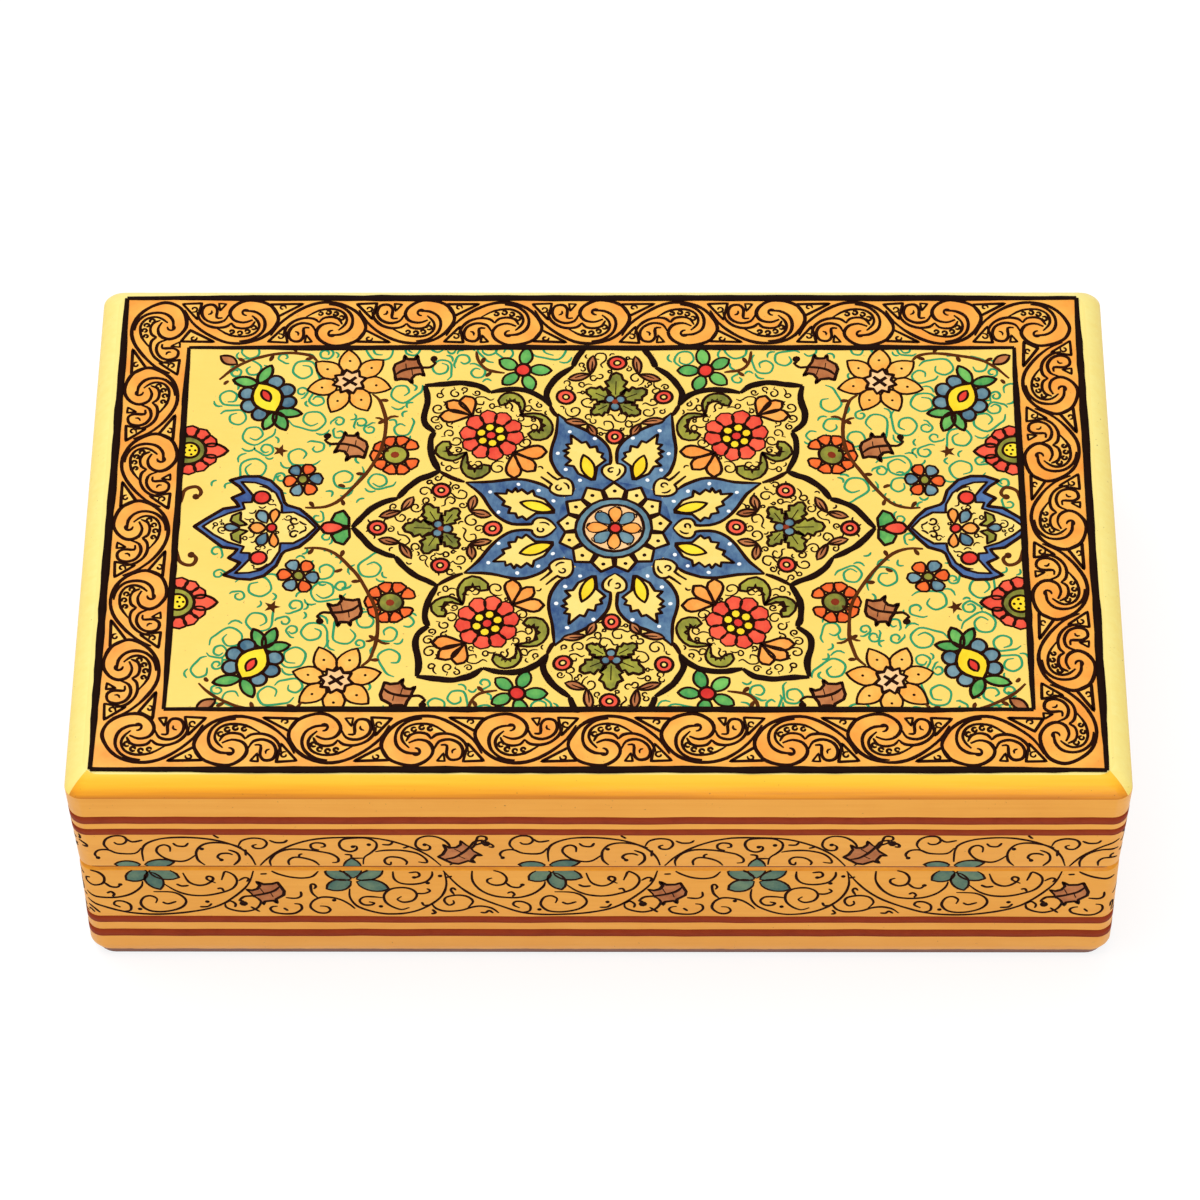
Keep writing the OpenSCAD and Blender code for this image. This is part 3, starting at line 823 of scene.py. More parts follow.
def firm(points, closed):
    """The line with a point close to each end of its long segments, which keeps sharp corners wide."""
    ends = points + points[:1] if closed else points
    firmed = ends[:1]
    for p, q in zip(ends, ends[1:]):
        if abs(q - p) > 0.9:
            nudge = 0.22 * (q - p) / abs(q - p)
            firmed += [p + nudge, q - nudge]
        firmed.append(q)
    return firmed[:-1] if closed else firmed


def swept_lines(marks, lay, paint):
    """Lines swept by the brush tree on the flat sheet, then laid on the box."""
    verts, edges, widths, tops = [], [], [], []
    for k, (_, _, points, half, closed, level) in enumerate(marks):
        points = firm(points, closed) if half < 0.5 and bends(points) else points
        first, count = len(verts), len(points)
        for i, p in enumerate(points):
            ends = min(i, count - 1 - i) / max(1, count - 1)
            press = 1 if closed or half > 1 else min(1, 0.55 + 3.0 * ends)
            press *= 1 + 0.2 * noise.noise(Vector((p.real / 2.2, p.imag / 2.2, 1.5))) * (half < 1)
            verts.append(Vector((p.real, p.imag, 0)) * MM)
            widths.append(half * press * MM)
            tops.append((LEVEL * level + 0.0095 + 0.0008 * (k % 4)) * MM)
        edges += [(first + i, first + i + 1) for i in range(count - 1)]
        edges += [(first + count - 1, first)] if closed else []
    path = bpy.data.meshes.new("path")
    path.from_pydata(verts, edges, [])
    for name, values in (("half_width", widths), ("paint_top", tops)):
        path.attributes.new(name, "FLOAT", "POINT").data.foreach_set("value", values)
    thing = bpy.data.objects.new("path", path)
    bpy.context.collection.objects.link(thing)
    sweep = thing.modifiers.new("sweep", "NODES")
    sweep.node_group = brush
    sockets = {item.name: item.identifier for item in brush.interface.items_tree if item.in_out == "INPUT"}
    sweep[sockets["Brush size"]] = 2.0
    sweep[sockets["Paint"]] = paint
    bpy.context.view_layer.update()
    data = bpy.data.meshes.new_from_object(thing.evaluated_get(bpy.context.evaluated_depsgraph_get()))
    thing.modifiers.clear()
    bpy.data.objects.remove(thing)
    sheet = [complex(v.co.x, v.co.y) / MM for v in data.vertices]
    for v in data.vertices:
        v.co = lay(v.co.x / MM, v.co.y / MM, v.co.z / MM)
    return data, sheet


def unroll(data, sheet):
    """A UV map that is the painter's flat sheet."""
    uv = data.uv_layers.new(name="OFBake")
    for corner in data.loops:
        p = sheet[corner.vertex_index]
        wall = round(p.real / SHEET)
        flat = p if wall == 0 and lay_flat else p - wall * SHEET
        uv.data[corner.index].uv = ((flat.real + 105) / 240, (flat.imag + 105) / 240 if lay_flat
                                    else (wall * 60 + flat.imag) / 240)


lay_flat = True


def paint_on(body, area, marks, lay, calm=1.0):
    """One piece for each paint and kind of mark of an area."""
    global lay_flat
    lay_flat = lay is lay_top
    groups = {}
    for kind, paint, points, half, closed, level in marks:
        groups.setdefault((kind, paint), []).append(
            (kind, paint, [hand(p, calm) for p in points], half, closed, level))
    for (kind, paint), group in sorted(groups.items()):
        if kind == "fill":
            data, sheet = fill_slabs(group, lay, area + paint)
        else:
            data, sheet = swept_lines(group, lay, paint_of[paint])
        unroll(data, sheet)
        name = area + "_" + paint + ("_lines" if kind == "line" else "")
        settle(name, data, body, paint_of[paint])


print("ready to paint")


# %% [markdown]
# ## The medallion
# A Persian medallion fills the middle. Its black outline is a chain of bows between cusps. Inside it eight
# blue blades stand round a ringed flower, four lobes hold red flowers with olive commas, and the lobes on the
# axes hold a cluster of jagged leaves. Only one quarter is written down, and mirrors make the rest.

# %% Medallion outline


def pts(*numbers):
    """Points from x, y, x, y and so on."""
    return [complex(x, y) for x, y in zip(numbers[::2], numbers[1::2])]


def run(*numbers, steps=4):
    """A soft curve through x, y, x, y and so on."""
    return smooth(pts(*numbers), steps=steps)


top_tip = run(5.8, 46.6, 7.5, 43.5, 8.2, 41.3)
top_bow = run(8.2, 41.3, 11, 39, 12.8, 36.3, 13.6, 33.8, 12.9, 31.2)
north_bow = run(12.9, 31.2, 14, 32.8, 16.5, 34.6, 19, 35.4, 22, 35.3, 25, 34.5)
corner_bow = run(25, 34.5, 27, 36.2, 29, 36.9, 31, 37.2, 34, 36.8, 37.8, 36.3)
outer_bow = run(37.8, 36.3, 37.3, 33, 38, 29, 37.6, 26.4, 35.6, 24.3)
east_bow = run(35.6, 24.3, 36.3, 22, 36, 18, 34.4, 14.3)
side_bow = run(34.4, 14.3, 36.4, 13.2, 38.5, 12.2, 41, 10, 42.8, 7.4)
side_tip = run(42.8, 7.4, 45, 6.5, 47.5, 4.9, 49.5, 2.5, 51.4, 0)
edge = [line("frame", bow_, 0.66, level=6) for bow_ in (
    top_tip, top_bow, north_bow, corner_bow, outer_bow, east_bow, side_bow, side_tip)]
edge += [line("ink", bow(12.9 + 31.2j, 11.4 + 28.4j, 0.05, 4), 0.3, level=5),
         line("ink", bow(34.4 + 14.3j, 29.4 + 11.5j, 0.05, 4), 0.3, level=5)]
outline_marks = quarters(sum(edge, []))
print("outline", len(outline_marks), "bows")

# %% Blue blades and hub
low_edge = run(15.3, 1.0, 17, 0.65, 20, 0.9, 22.5, 2.5, 24.5, 5, 26.5, 8.5, 29.2, 11.4, steps=3)
high_edge = run(12.4, 9.6, 14, 11, 17, 12.2, 20, 12.3, 24, 11.6, 29.2, 11.4, steps=3)
cut_out = pts(12, 4.4, 13.6, 7, 15.5, 8, 15.7, 9.5, 16.9, 8.5, 18, 9.7, 18.9, 9, 19.3, 10, 20, 8.8, 21, 9.5, 21.2, 8.4,
              23.6, 8.6, 21.5, 6.5, 21.9, 5.6, 20.3, 4.9, 20.7, 3.6, 19.3, 3.4, 18.9, 2.2, 18, 2.6, 17.2, 1.7,
              15.5, 3.4, 12, 3.7)
blade = fill("blue", low_edge + high_edge[-2::-1] + pts(9.4, 7.2, 10.6, 5, 11.4, 1), 1, False)
blade += line("ink", low_edge, 0.24) + line("ink", high_edge, 0.24)
blade += inked("cream", cut_out, 0.19, 2, False)
blade += inked("yellow", petal(12.1 + 4.2j, 18.4 + 6.2j, 1.3, 0.5, 0.8), 0.17, 3)
for spot in pts(13.6, 1.9, 11.9, 6.6, 18.7, 11, 24.5, 8.9, 22.7, 3.9, 14.6, 9.4):
    blade += dot("white", spot, 0.42, 2)
side_edge = run(11.5, 0, 12.4, 1.3, 13.4, 2.1, 14.3, 2.35, 15.3, 2.2, 16, 1.4, 16.1, 0.8, steps=2)
spade = fill("cream", side_edge + [p.conjugate() for p in side_edge[:0:-1]], 3, False)
spade += mirrored(line("ink", side_edge + pts(17.4, 0.72, 19.2, 0.8), 0.18, level=3))
spade += line("ink", spiral(14.4 + 0.5j, 0.8, 0.3, -40, 250), 0.15, level=3)
spade += line("ink", bow(12.9 - 0.5j, 14.8 - 1.1j, -0.2, 4), 0.15, level=3)
scale = pts(7.2, 1.4, 9.4, 2.15, 11.3, 0, 9.4, -2.15, 7.2, -1.4)
hub = fill("blue", circle(0, 12.2), 0.3) + around(8, spade) + around(13, inked("cream", scale, 0.2, 3, False) + dot("ink", 9.2, 0.42, 4), start=7)
hub += ball("slate", 0, 7.4, 4) + ball("peach", 0, 5.8, 5)
hub += around(8, line("ink", spiral(4.5 + 1.4j, 0.7, 0.3, -70, 160), 0.1, level=5)
              + line("ink", bow(3.2 + 1.0j, 3.4 + 2.2j, 0.4, 3), 0.1, level=5), start=22.5)
hub += petals("slate", range(45, 360, 90), 1.0, 5.2, 1.25, 0.62, 0.6, level=6, pen=0.1)
hub += petals("orange", range(0, 360, 90), 1.0, 5.3, 1.3, 0.62, 0.6, level=6, pen=0.1)
hub += ball("red", 0.1 - 0.1j, 1.25, 7)
star = quarters(crossed(blade)) + hub
print("star", len(star), "marks")

# %% Lobes of the medallion


def red_flower():
    marks = petals("coral", range(8, 368, 36), 2.4, 6.5, 1.72, 0.62, 0.55, pen=0.13)
    marks += dot("ink", 0, 3.3, 2) + around(6, dot("yellow", 2.1, 0.78, 3), start=20)
    return marks + dot("red", 0, 0.85, 3)


def comma(*numbers, half=1.2):
    """An olive leaf that swells from a thin tail to a round head, with teeth inside its bend."""
    spine, bend = run(*numbers, steps=3), 0
    last, left, right_edge = len(spine) - 1, [], []
    for i, p in enumerate(spine):
        way = spine[min(last, i + 1)] - spine[max(0, i - 1)]
        side = 1j * way / abs(way) * (0.08 + half * math.sin(0.66 * math.pi * i / last))
        bend += ((spine[min(last, i + 1)] - p).conjugate() * way).imag
        left.append(p + side)
        right_edge.append(p - side)
    tip = way / abs(way) * half * 0.8
    edge = left + [spine[-1] + tip] + right_edge[::-1]
    inner = left if ((spine[last // 2] - spine[0]).conjugate() * (spine[-1] - spine[0])).imag > 0 else right_edge
    teeth = [spine[i] + (p - spine[i]) * (0.95 if i % 2 else 0.35) for i, p in enumerate(inner)][2:]
    return inked("olive", edge, 0.18, 2, False) + line("ink", teeth, 0.15, level=3)


def lily(base, *tips):
    """Three flaring petals."""
    marks = []
    for tip, half in zip(tips, (1.6, 1.6, 1.5)):
        marks += inked("orange", petal(base, tip, half, 0.68, 0.7), 0.19, 2)
    return marks


def ring_dot(spot):
    return ball("coral", spot, 1.75, 2) + ball("cream", spot, 0.62, 3, 0.15)


def leaf_pair(spot, *tips):
    """Brown leaves that spring from one point, with their middle veins."""
    marks = []
    for tip in tips:
        marks += inked("rust", petal(spot, tip, 0.85, 0.55, 0.8), 0.17, 2)
        marks += line("ink", bow(spot, spot + 0.7 * (tip - spot), 0.05, 4), 0.11, level=3)
    return marks


def olive_cluster(at, turn):
    """Five jagged leaves round three slate balls."""
    marks = []
    for way, reach, half in ((0, 7.8, 2.4), (61, 7.0, 2.1), (-61, 7.0, 2.1), (123, 5.8, 1.8), (-123, 5.8, 1.8)):
        marks += put(inked("olive", jagged(0.6, reach, half, 4, 0.55, 0.34), 0.2, 2, False)
                     + line("ink", [1.9, reach * 0.7], 0.13, level=3), turn=way)
    for way in (60, 180, 300):
        marks += ball("slate", 1.25 * cis(way), 1.0, 3, 0.16)
    return put(marks + dot("maroon", 0, 0.62, 4), at, turn)


lobe = put(red_flower(), 24.3 + 23.4j)
lobe += comma(18.7, 28.7, 15, 28.5, 13.5, 26, 14.2, 23.6, 16.2, 23.5) + comma(29.4, 18.8, 29.5, 15.5, 27.5, 13.5, 25.2, 15)
lobe += comma(18.4, 29.1, 18.3, 31.5, 19.6, 33.1, 21.4, 33.2, 22.4, 31.9, half=1.05)
lobe += comma(29.4, 19, 32, 17.6, 34.3, 19.2, 33.2, 21.2, half=1.05)
lobe += lily(28.3 + 28.3j, 30 + 33.6j, 34.9 + 28.5j, 33.6 + 32.2j) + lily(19.7 + 19.2j, 13.2 + 19.2j, 19.6 + 12.6j, 15.4 + 14.6j)
side_marks = olive_cluster(33.7 + 0.2j, 0) + ring_dot(23.9 + 0j) + ring_dot(46.6)
side_marks += mirrored(ring_dot(33.9 + 9.3j) + leaf_pair(28.3 + 4.2j, 27.6 + 8j, 24.2 + 3.2j)
                       + leaf_pair(42 + 4j, 39.7 + 7.8j, 46.2 + 2.9j))
top_marks = olive_cluster(0.3 + 32j, 90) + ring_dot(0.2 + 23.2j) + ring_dot(0.5 + 42.4j)
top_half = ring_dot(9.8 + 33.4j) + leaf_pair(4.8 + 39.3j, 4.1 + 44.2j, 9.2 + 38.1j) + leaf_pair(
    5.2 + 26.4j, 9.9 + 27.3j, 3.6 + 23.4j)
top_marks += top_half + [m[:2] + ([-p.conjugate() for p in m[2]],) + m[3:] for m in top_half]
print("lobes", len(lobe), "marks")

# %% Curls of the medallion
CURLS = (1.9, 1.5, 1.2, 0.9, 0.6)
lobe_edge = [p * 0.985 for p in north_bow + corner_bow + outer_bow + east_bow] + pts(
    29, 12.3, 24, 12.4, 20, 13.2, 16.6, 13.4, 13.5, 13.5, 13.4, 16.6, 13.2, 20, 12.4, 24, 12.3, 29)
side_edge = [p * 0.985 for p in side_bow + side_tip] + [p.conjugate() * 0.985 for p in (side_bow + side_tip)[::-1]]
side_edge += pts(29, -11, 26.5, -8.2, 24.5, -5, 22.5, -2.3, 20.5, 0, 22.5, 2.3, 24.5, 5, 26.5, 8.2, 29, 11)
top_edge = pts(0, 20.5, 2.3, 22.5, 5, 24.5, 8.2, 26.5, 11, 29) + [0.98 * p for p in top_bow[::-1] + top_tip[::-1]]
top_edge = top_edge + [-p.conjugate() for p in top_edge[::-1]]
lobe += scatter(lobe_edge, lobe, CURLS, 11, 330, pen_curl(0.125))
side_marks += scatter(side_edge, side_marks, CURLS, 12, 330, pen_curl(0.125))
top_marks += scatter(top_edge, top_marks, CURLS, 13, 330, pen_curl(0.125))
medallion = outline_marks + star + quarters(lobe) + side_marks + put(side_marks, turn=180)
medallion += top_marks + put(top_marks, turn=180)
print("medallion", len(medallion), "marks")

# %% [markdown]
# ## Cartouches and scattered flowers
# At each end a blue-edged cartouche joins the medallion. Round them the field carries large flowers, brown
# leaves and thin green curls. Their places are written for one quarter.

# %% Cartouche
cart_out = pts(57.6, 0, 59.5, 2.7, 61.5, 4.8, 64.2, 5.8, 64.9, 6.5, 65.8, 9.5, 68, 12, 70.5, 13, 73.2, 12.9, 75.8, 11.9,
               73.9, 10.4, 72.9, 8.8, 75.1, 7.5, 74.2, 6.5, 73.6, 5.4, 76.5, 4.9, 79.9, 2.1, 82.2, 0)
cart_in = pts(58.4, 0, 60.3, 2.3, 62.7, 3.9, 65.2, 3.8, 65.4, 5.8, 66.8, 8.8, 68.8, 10.6, 71, 11.4, 73.6, 11.5, 72.5, 10,
              71.2, 8, 71.3, 6.4, 73, 6.3, 72.5, 4.8, 75.5, 3.7, 78.3, 2, 80.5, 0)
cart_out = cart_out + [p.conjugate() for p in cart_out[-2:0:-1]]
cart_in = cart_in + [p.conjugate() for p in cart_in[-2:0:-1]]
cartouche = inked("navy", cart_out, 0.24, 1, False) + inked("cream", cart_in, 0.17, 2, False)
heart = petals("orange", (95, -95), 1.1, 4.8, 0.95, 0.6, 0.6, 66.9, 3)
heart += petals("slate", (62, -62), 1.3, 4.9, 1.15, 0.6, 0.6, 67.5, 3)
heart += inked("orange", petal(68.2, 71.6, 1.3, 0.55, 0.6), 0.18, 3) + ball("red", 67.1, 1.0, 4, 0.17)
heart += inked("slate", petal(76.2, 73.4, 0.95, 0.4, 0.7), 0.16, 3)
heart += mirrored(ball("red", 69.5 + 7.6j, 1.6, 3, 0.18) + inked(
    "olive", pts(71.9, 0.8, 73.2, 2, 73.1, 4, 74.7, 3.1, 75, 1.7, 73.4, 0.5), 0.17, 3, False)
    + line("ink", spiral(62.6 + 1.7j, 1.0, 0.4, -150, 190), 0.15, level=3)
    + line("ink", bow(60.2 + 0.7j, 61.6 + 1.6j, -0.1, 4), 0.14, level=3)
    + line("ink", bow(67.6 + 9.0j, 70.2 + 10.4j, 0.15, 5), 0.14, level=3))
cartouche += heart
cartouche += put(scatter(cart_in, heart, (1.1, 0.8, 0.5), 21, 200, pen_curl(0.11)), raised=2)
joiner = inked("leaf", pts(52, 0.2, 51.9, 2.4, 53, 4.3, 54.6, 3.7, 55.4, 2, 54.2, 0.8), 0.2, 1)
joiner = mirrored(joiner) + inked("coral", petal(57.5, 52.9, 1.5, 0.4, 0.62), 0.2, 2)
cartouche += joiner
print("cartouche", len(cartouche), "marks")

# %% Flowers of the field


def blue_drop():
    """A yellow drop with a red heart in a ring of blue petals."""
    marks = mirrored(inked("leaf", petal(-4, -4 + 5.2 * cis(127), 1.2, 0.5, 0.7), 0.2))
    marks += inked("leaf", petal(-4, -9.4 - 0.5j, 1.3, 0.5, 0.7), 0.2)
    for turn in (55, -50):
        marks += inked("leaf", petal(4.1, 4.1 + 5.4 * cis(turn), 1.25, 0.5, 0.7), 0.2)
    for k, spot in enumerate((2.9 + 3.1j, -0.1 + 4.1j, -3.1 + 3.1j)):
        marks += mirrored(ball("slate", spot, 1.6, 2, 0.2))
    return marks + inked("yellow", petal(-4.3, 4.3, 3.0, 0.5, 0.8), 0.22, 3) + inked(
        "red", petal(-1.1, 2.2, 0.9, 0.5, 0.7), 0.17, 4)


def ochre_bloom(turns):
    marks = petals("ochre", turns, 2.2, 8.6, 2.15, 0.42, 0.78)
    marks += [m for turn in turns for m in put(dot("ink", 5.5, 0.3, 2), turn=turn)]
    marks += inked("peach", [(3.3 if i % 2 else 2.3) * cis(22.5 * i + 8) for i in range(16)], 0.2, 2)
    return marks + line("ink", pts(-1.4, -1.0, 1.4, 1.0), 0.42, level=3) + line("ink", pts(-1.2, 1.2, 1.2, -1.2), 0.42, level=3)


def maple():
    """A ragged brown leaf on a curled stem with a ball."""
    rim = pts(3.4, .6, 2.5, 2.1, 2, 4.2, 1.5, 3.1, -.3, 3.1, -.9, 4.1, -1, 2.7, -2.9, 1.5, -3.3, .2, -3, -1.4, -2.7, -3.1,
              -1.5, -2.7, .3, -2.9, 1.4, -4.1, 1.1, -2.6, 1.9, -1.5, 3.1, -1.2, 4.2, -1.8, 3.5, -.1)
    return (inked("rust", rim, 0.22, 2, False) + line("ink", run(-2.8, -1.6, -1.2, -.2, 1.2, .5, 3.4, .7, 5.3, .7, 6.7, 1.9),
                                                      0.2, level=3)
            + line("ink", [-0.4 + 0.1j, -0.6 + 1.8j], 0.13, level=3) + line("ink", [0.9 + 0.3j, 1.3 - 1.6j], 0.13, level=3)
            + dot("ink", 6 + 3.1j, 0.9, 2) + line("ink", bow(6.7 + 1.9j, 6 + 3j, 0.3, 4), 0.2, level=2))


def half_red():
    """Coral petals, an olive ring and a spotted yellow disc; it grows out of the frame along +X."""
    marks = petals("coral", (84, 56, 28, -84, -56, -28), 3.2, 6.3, 1.45, 0.66, 0.45)
    marks += inked("coral", petal(2.4, 7.9, 1.9, 0.45, 0.7), 0.2)
    marks += ball("olive", 0, 3.6, 2) + ball("yellow", 0.3, 1.95, 3, 0.18)
    return marks + around(5, dot("ink", 1.15, 0.3, 4), 0.3) + dot("ink", 0.3, 0.3, 4)


def half_orange():
    """A flame-coloured bloom half hidden by the medallion's outline."""
    marks = petals("flame", range(-146, 150, 36), 2.2, 5.1, 1.4, 0.7, 0.45)
    return marks + ball("olive", 0, 2.4, 2) + dot("maroon", 0.1, 0.85, 3)


def thorned(points, half=0.42, every=6):
    """A brown vine with small drops for thorns."""
    marks = line("bole", points, half, level=2)
    for i in range(3, len(points) - 2, every):
        way = (points[i + 1] - points[i - 1]) / abs(points[i + 1] - points[i - 1])
        side = (1j if (i // every) % 2 else -1j) * way
        marks += fill("bole", petal(points[i], points[i] + 1.7 * side + 1.0 * way, 0.45, 0.6, 0.6), 2)
    return marks


north_turns, even_turns = (83, 38, -3, -42, -80, -119, -164, 138), [140 - 51.4 * k for k in range(7)]
field = put(blue_drop(), 69.3 + 33.2j, 61.6) + put(ochre_bloom(even_turns), 53.2 + 37.4j)
field += put(maple(), 51.7 + 20.5j, 0, 0.88) + put(maple(), 41.7 + 40.6j, 180, 0.88, True)
field += fill("bole", [66.2 + 19.5j + (1.7 if i % 2 else 0.7) * cis(36 * i) for i in range(10)], 2)
field += put(half_orange(), 43.1 + 18.5j)
field += put(petals("flame", (115, 235, 355), 1.2, 4.1, 1.3, 0.62, 0.42) + petals(
    "slate", (55, 175, 295), 1.2, 4.1, 1.3, 0.62, 0.42) + ball("olive", 0, 1.1, 3), 61.4 + 12j)
field += put(petals("leaf", (100, 28, -40, -110, 180), 1.2, 5.6, 1.35, 0.5, 0.62) + ball("red", 0, 1.5, 3), 18.2 + 40.4j)
field += thorned(run(22, 39.8, 25.5, 40.5, 27.3, 42.5, 27.8, 45.3), 0.34, 4)
field += thorned(run(59.5, 42.5, 61, 44.2, 64, 44.9, 67.5, 44.7, 72, 43.6, 76, 41.3, 79.3, 38), 0.36, 5)
field += inked("rust", petal(75.9 + 42j, 79.4 + 44.2j, 1.1, 0.5, 0.75), 0.18, 2)
field += thorned(run(48.5, 34, 47, 32.5, 46, 29.5, 45.5, 26.5, 45.7, 22, 46.7, 18, 49, 13.5, 51.5, 9.8, 54.5, 6.5,
                     57.5, 5.3, 60.5, 5.2, steps=3), 0.38, 5)
field += line("bole", bow(45.6 + 27j, 43 + 28.4j, -0.2, 4), 0.3, level=2) + line(
    "bole", bow(45.7 + 26.4j, 47.7 + 27.9j, 0.2, 4), 0.3, level=2)
field += line("bole", bow(53 + 10.2j, 54.4 + 10.8j, 0.1, 3), 0.4) + line("bole", bow(77.4 + 37.6j, 78.2 + 36.6j, 0.1, 3), 0.4)
frame_growth = []
for sx, sy in ((1, 1), (1, -1), (-1, 1), (-1, -1)):
    frame_growth += put(half_red(), complex(81.9 * sx, 19.1 * sy), 180 if sx > 0 else 0, 1)
    hook = run(82.6, 6, 82.2, 8.6, 80.9, 9.7, 79.5, 9.7, 78.8, 8.4, 79.4, 7.3, steps=3)
    frame_growth += [m[:2] + ([complex(p.real * sx, p.imag * sy) for p in m[2]],) + m[3:]
                     for m in line("bole", hook, 0.4, level=2) + dot("bole", 79.8 + 7.4j, 0.75, 2)]
print("field", len(field), "marks")

# %% Green curls of the field


def teal_curl(size, dice):
    """A thin loose spiral, with a small bow beside it when it is large."""
    if size < 1:
        return line("teal", [size * p for p in bow(-1, 1, dice.uniform(0.2, 0.5), 5)], 0.25, level=0)
    close, turn = dice.uniform(0.3, 0.5), dice.uniform(200, 400)
    shape = smooth([-1.15 - 0.75j, -0.75 - 0.95j] + spiral(0, 0.95, close, -110, turn, 0.9)[::3], steps=4)
    marks = line("teal", [size * p for p in shape], 0.25, level=0)
    if size > 1.8:
        marks += line("teal", [size * p for p in bow(0.75 - 0.75j, 1.3 - 0.1j, -0.3, 4)], 0.25, level=0)
    return marks


green = []
for seed, flip in ((31, False), (32, True)):
    room_edge = [p * 1.035 for p in (top_tip + top_bow + north_bow + corner_bow + outer_bow + east_bow + side_bow
                                     + side_tip)[::-1]]
    room_edge = room_edge + pts(79.4, 45.2, 79.4, 0)
    grown = put(frame_growth, -2.7 + 0.5j)
    marks = field + grown + cartouche
    curls_here = scatter(room_edge, marks, (3.3, 2.5, 1.9, 1.4, 0.9), seed, 360, teal_curl, 0.5)
    green += put(curls_here, flip=flip)
green += put(green, turn=180)
green = [m for m in green if min(abs(p - q) for p in m[2][::4] for q in pts(-79, 0, 79, 0)) > 2]
print("green curls", len(green))

# %% [markdown]
# ## Frames and the scroll border
# Two black frames hold a running scroll. In each unit a stem sweeps in, goes round and rolls up into a bulb,
# and units that point in and out take turns all round the box.

# %% Scroll units
UNIT = [(0.25, (19.2, -3.4, 17.5, -.2, 14.5, 2.8, 11, 4.9, 7.5, 5.45, 4, 4.5, 1.5, 2.4, 0, -.5, .2, -2.6, 1.5, -4.6,
                4, -5.8, 6.7, -6, 9, -4.6, 9.9, -2.6, 9, -.7, 7, -.1, 5.2, -.85)),
        (0.22, (7.3, -3.2, 5, -3.1, 3.2, -1.8, 2.6, .3, 3.2, 2.6, 5.2, 4.4, 7.6, 4.85)),
        (0.2, (4.7, -.5, 5.4, .9, 6.8, 1.5, 8.6, 1.2, 9.5, 0)),
        (0.22, (9.5, .1, 10.5, 1.1, 12.5, 1.35, 14.5, .6, 16, -1, 16.6, -3)),
        (0.22, (11.3, -1.3, 12.5, -1.4, 12.5, -3.6, 13.4, -4.8, 15, -4.5, 15.6, -2.8, 14.9, -1, 13, 0, 11, -.5,
                10.1, -2.2))]
crescent = run(12.2, 1.6, 9.5, 3.3, 6.5, 3.6, 4.5, 2.6, 3.8, .9, 4.2, -.6, 5.4, -2, steps=3)
crescent_in = run(5.0, -0.4, 5.6, 1.3, 7.0, 2.0, 9.0, 1.7, 12.2, 1.6, steps=3)
unit = [m for half, numbers in UNIT for m in line("ink", run(*numbers, steps=3), half)]
unit += fill("straw", crescent + crescent_in[:-1], 1, False) + line("ink", crescent, 0.2)
for spot, long in zip(pts(4.9, 1.2, 6.1, 2.3, 7.6, 2.7, 9.2, 2.4), (0.55, 0.5, 0.5, 0.45)):
    unit += line("ink", spiral(spot, long, long * 0.8, 40, 380), 0.18, level=2)
unit += inked("straw", pts(12.8, 5.1, 19.4, 4.9, 17.7, 1.9), 0.22, 1, False)
unit += line("ink", spiral(16.9 + 4.1j, 0.7, 0.3, 200, -120), 0.15, level=2)
unit += inked("straw", pts(16.5, -1.0, 19.6, -5, 15.7, -5.2), 0.2, 1, False)
unit += line("ink", spiral(17.2 - 3.6j, 0.75, 0.35, 60, 380), 0.15, level=2)
unit += inked("straw", pts(10.7, -5, 11.9, -3.2, 12.2, -5.1), 0.16, 1, False)
unit += line("ink", spiral(6.6 - 3.0j, 1.0, 0.4, 100, -170), 0.18) + line("ink", bow(13.6 - 3.3j, 14.3 - 2.2j, 0.3, 3), 0.16)
scrolls = []
for start, count, pitch, high, turn in ((-94.5 - 51.9j, 10, 17.77, 1, 1), (89.7 - 57.4j, 6, 17.2, 0.94, 1j),
                                        (94.5 + 52.4j, 10, 17.77, 1, -1), (-89.7 + 57.7j, 6, 17.2, 0.94, -1j)):
    for k in range(count):
        side = 1 if k % 2 else -1
        scrolls += [m[:2] + ([start + complex(k * pitch + p.real * pitch / 17.8, p.imag * side * high) * turn
                              for p in m[2]],) + m[3:] for m in unit]
frames = []
for half_x, low, high, half in ((FRAME_X, -44.8, 45.8, 0.66), (OUTER_X, -59.0, 59.0, 0.78)):
    for y in (low, high):
        frames += line("frame", [complex(half_x * (1 - i / 30), y) for i in range(61)], half, level=7)
    for x in (-half_x, half_x):
        frames += line("frame", [complex(x, low + (high - low) * i / 40) for i in range(41)], half, level=7)
print("border", len(scrolls), "marks")

# %% Painting the top
CENTRE = 2.7 - 0.5j


def within(marks, x, low, high):
    """Keeps marks within a frame."""
    return [m[:2] + ([complex(max(-x, min(x, p.real)), max(low, min(high, p.imag))) for p in m[2]],) + m[3:] for m in marks]


ends = cartouche + put(cartouche, turn=180)
paint_on("lid", "medallion", within(put(medallion, CENTRE), FRAME_X, -44.8, 45.8), lay_top)
paint_on("lid", "field", within(put(ends + quarters(field) + green, CENTRE) + frame_growth, FRAME_X, -44.8, 45.8), lay_top)
paint_on("lid", "border", within(scrolls, OUTER_X, -59, 59), lay_top, 0.5)
paint_on("lid", "frame", frames, lay_top, 0.35)

# %% [markdown]
# ## The walls
# Two maroon stripes run round the lid and two round the base, and between them a vine climbs over the seam. It
# is one pattern, painted on the closed box: grey-green flowers on the seam, high bows over them, deep bows
# under them, spirals and ragged leaves. It is cut where lid and base part and round the hinges.

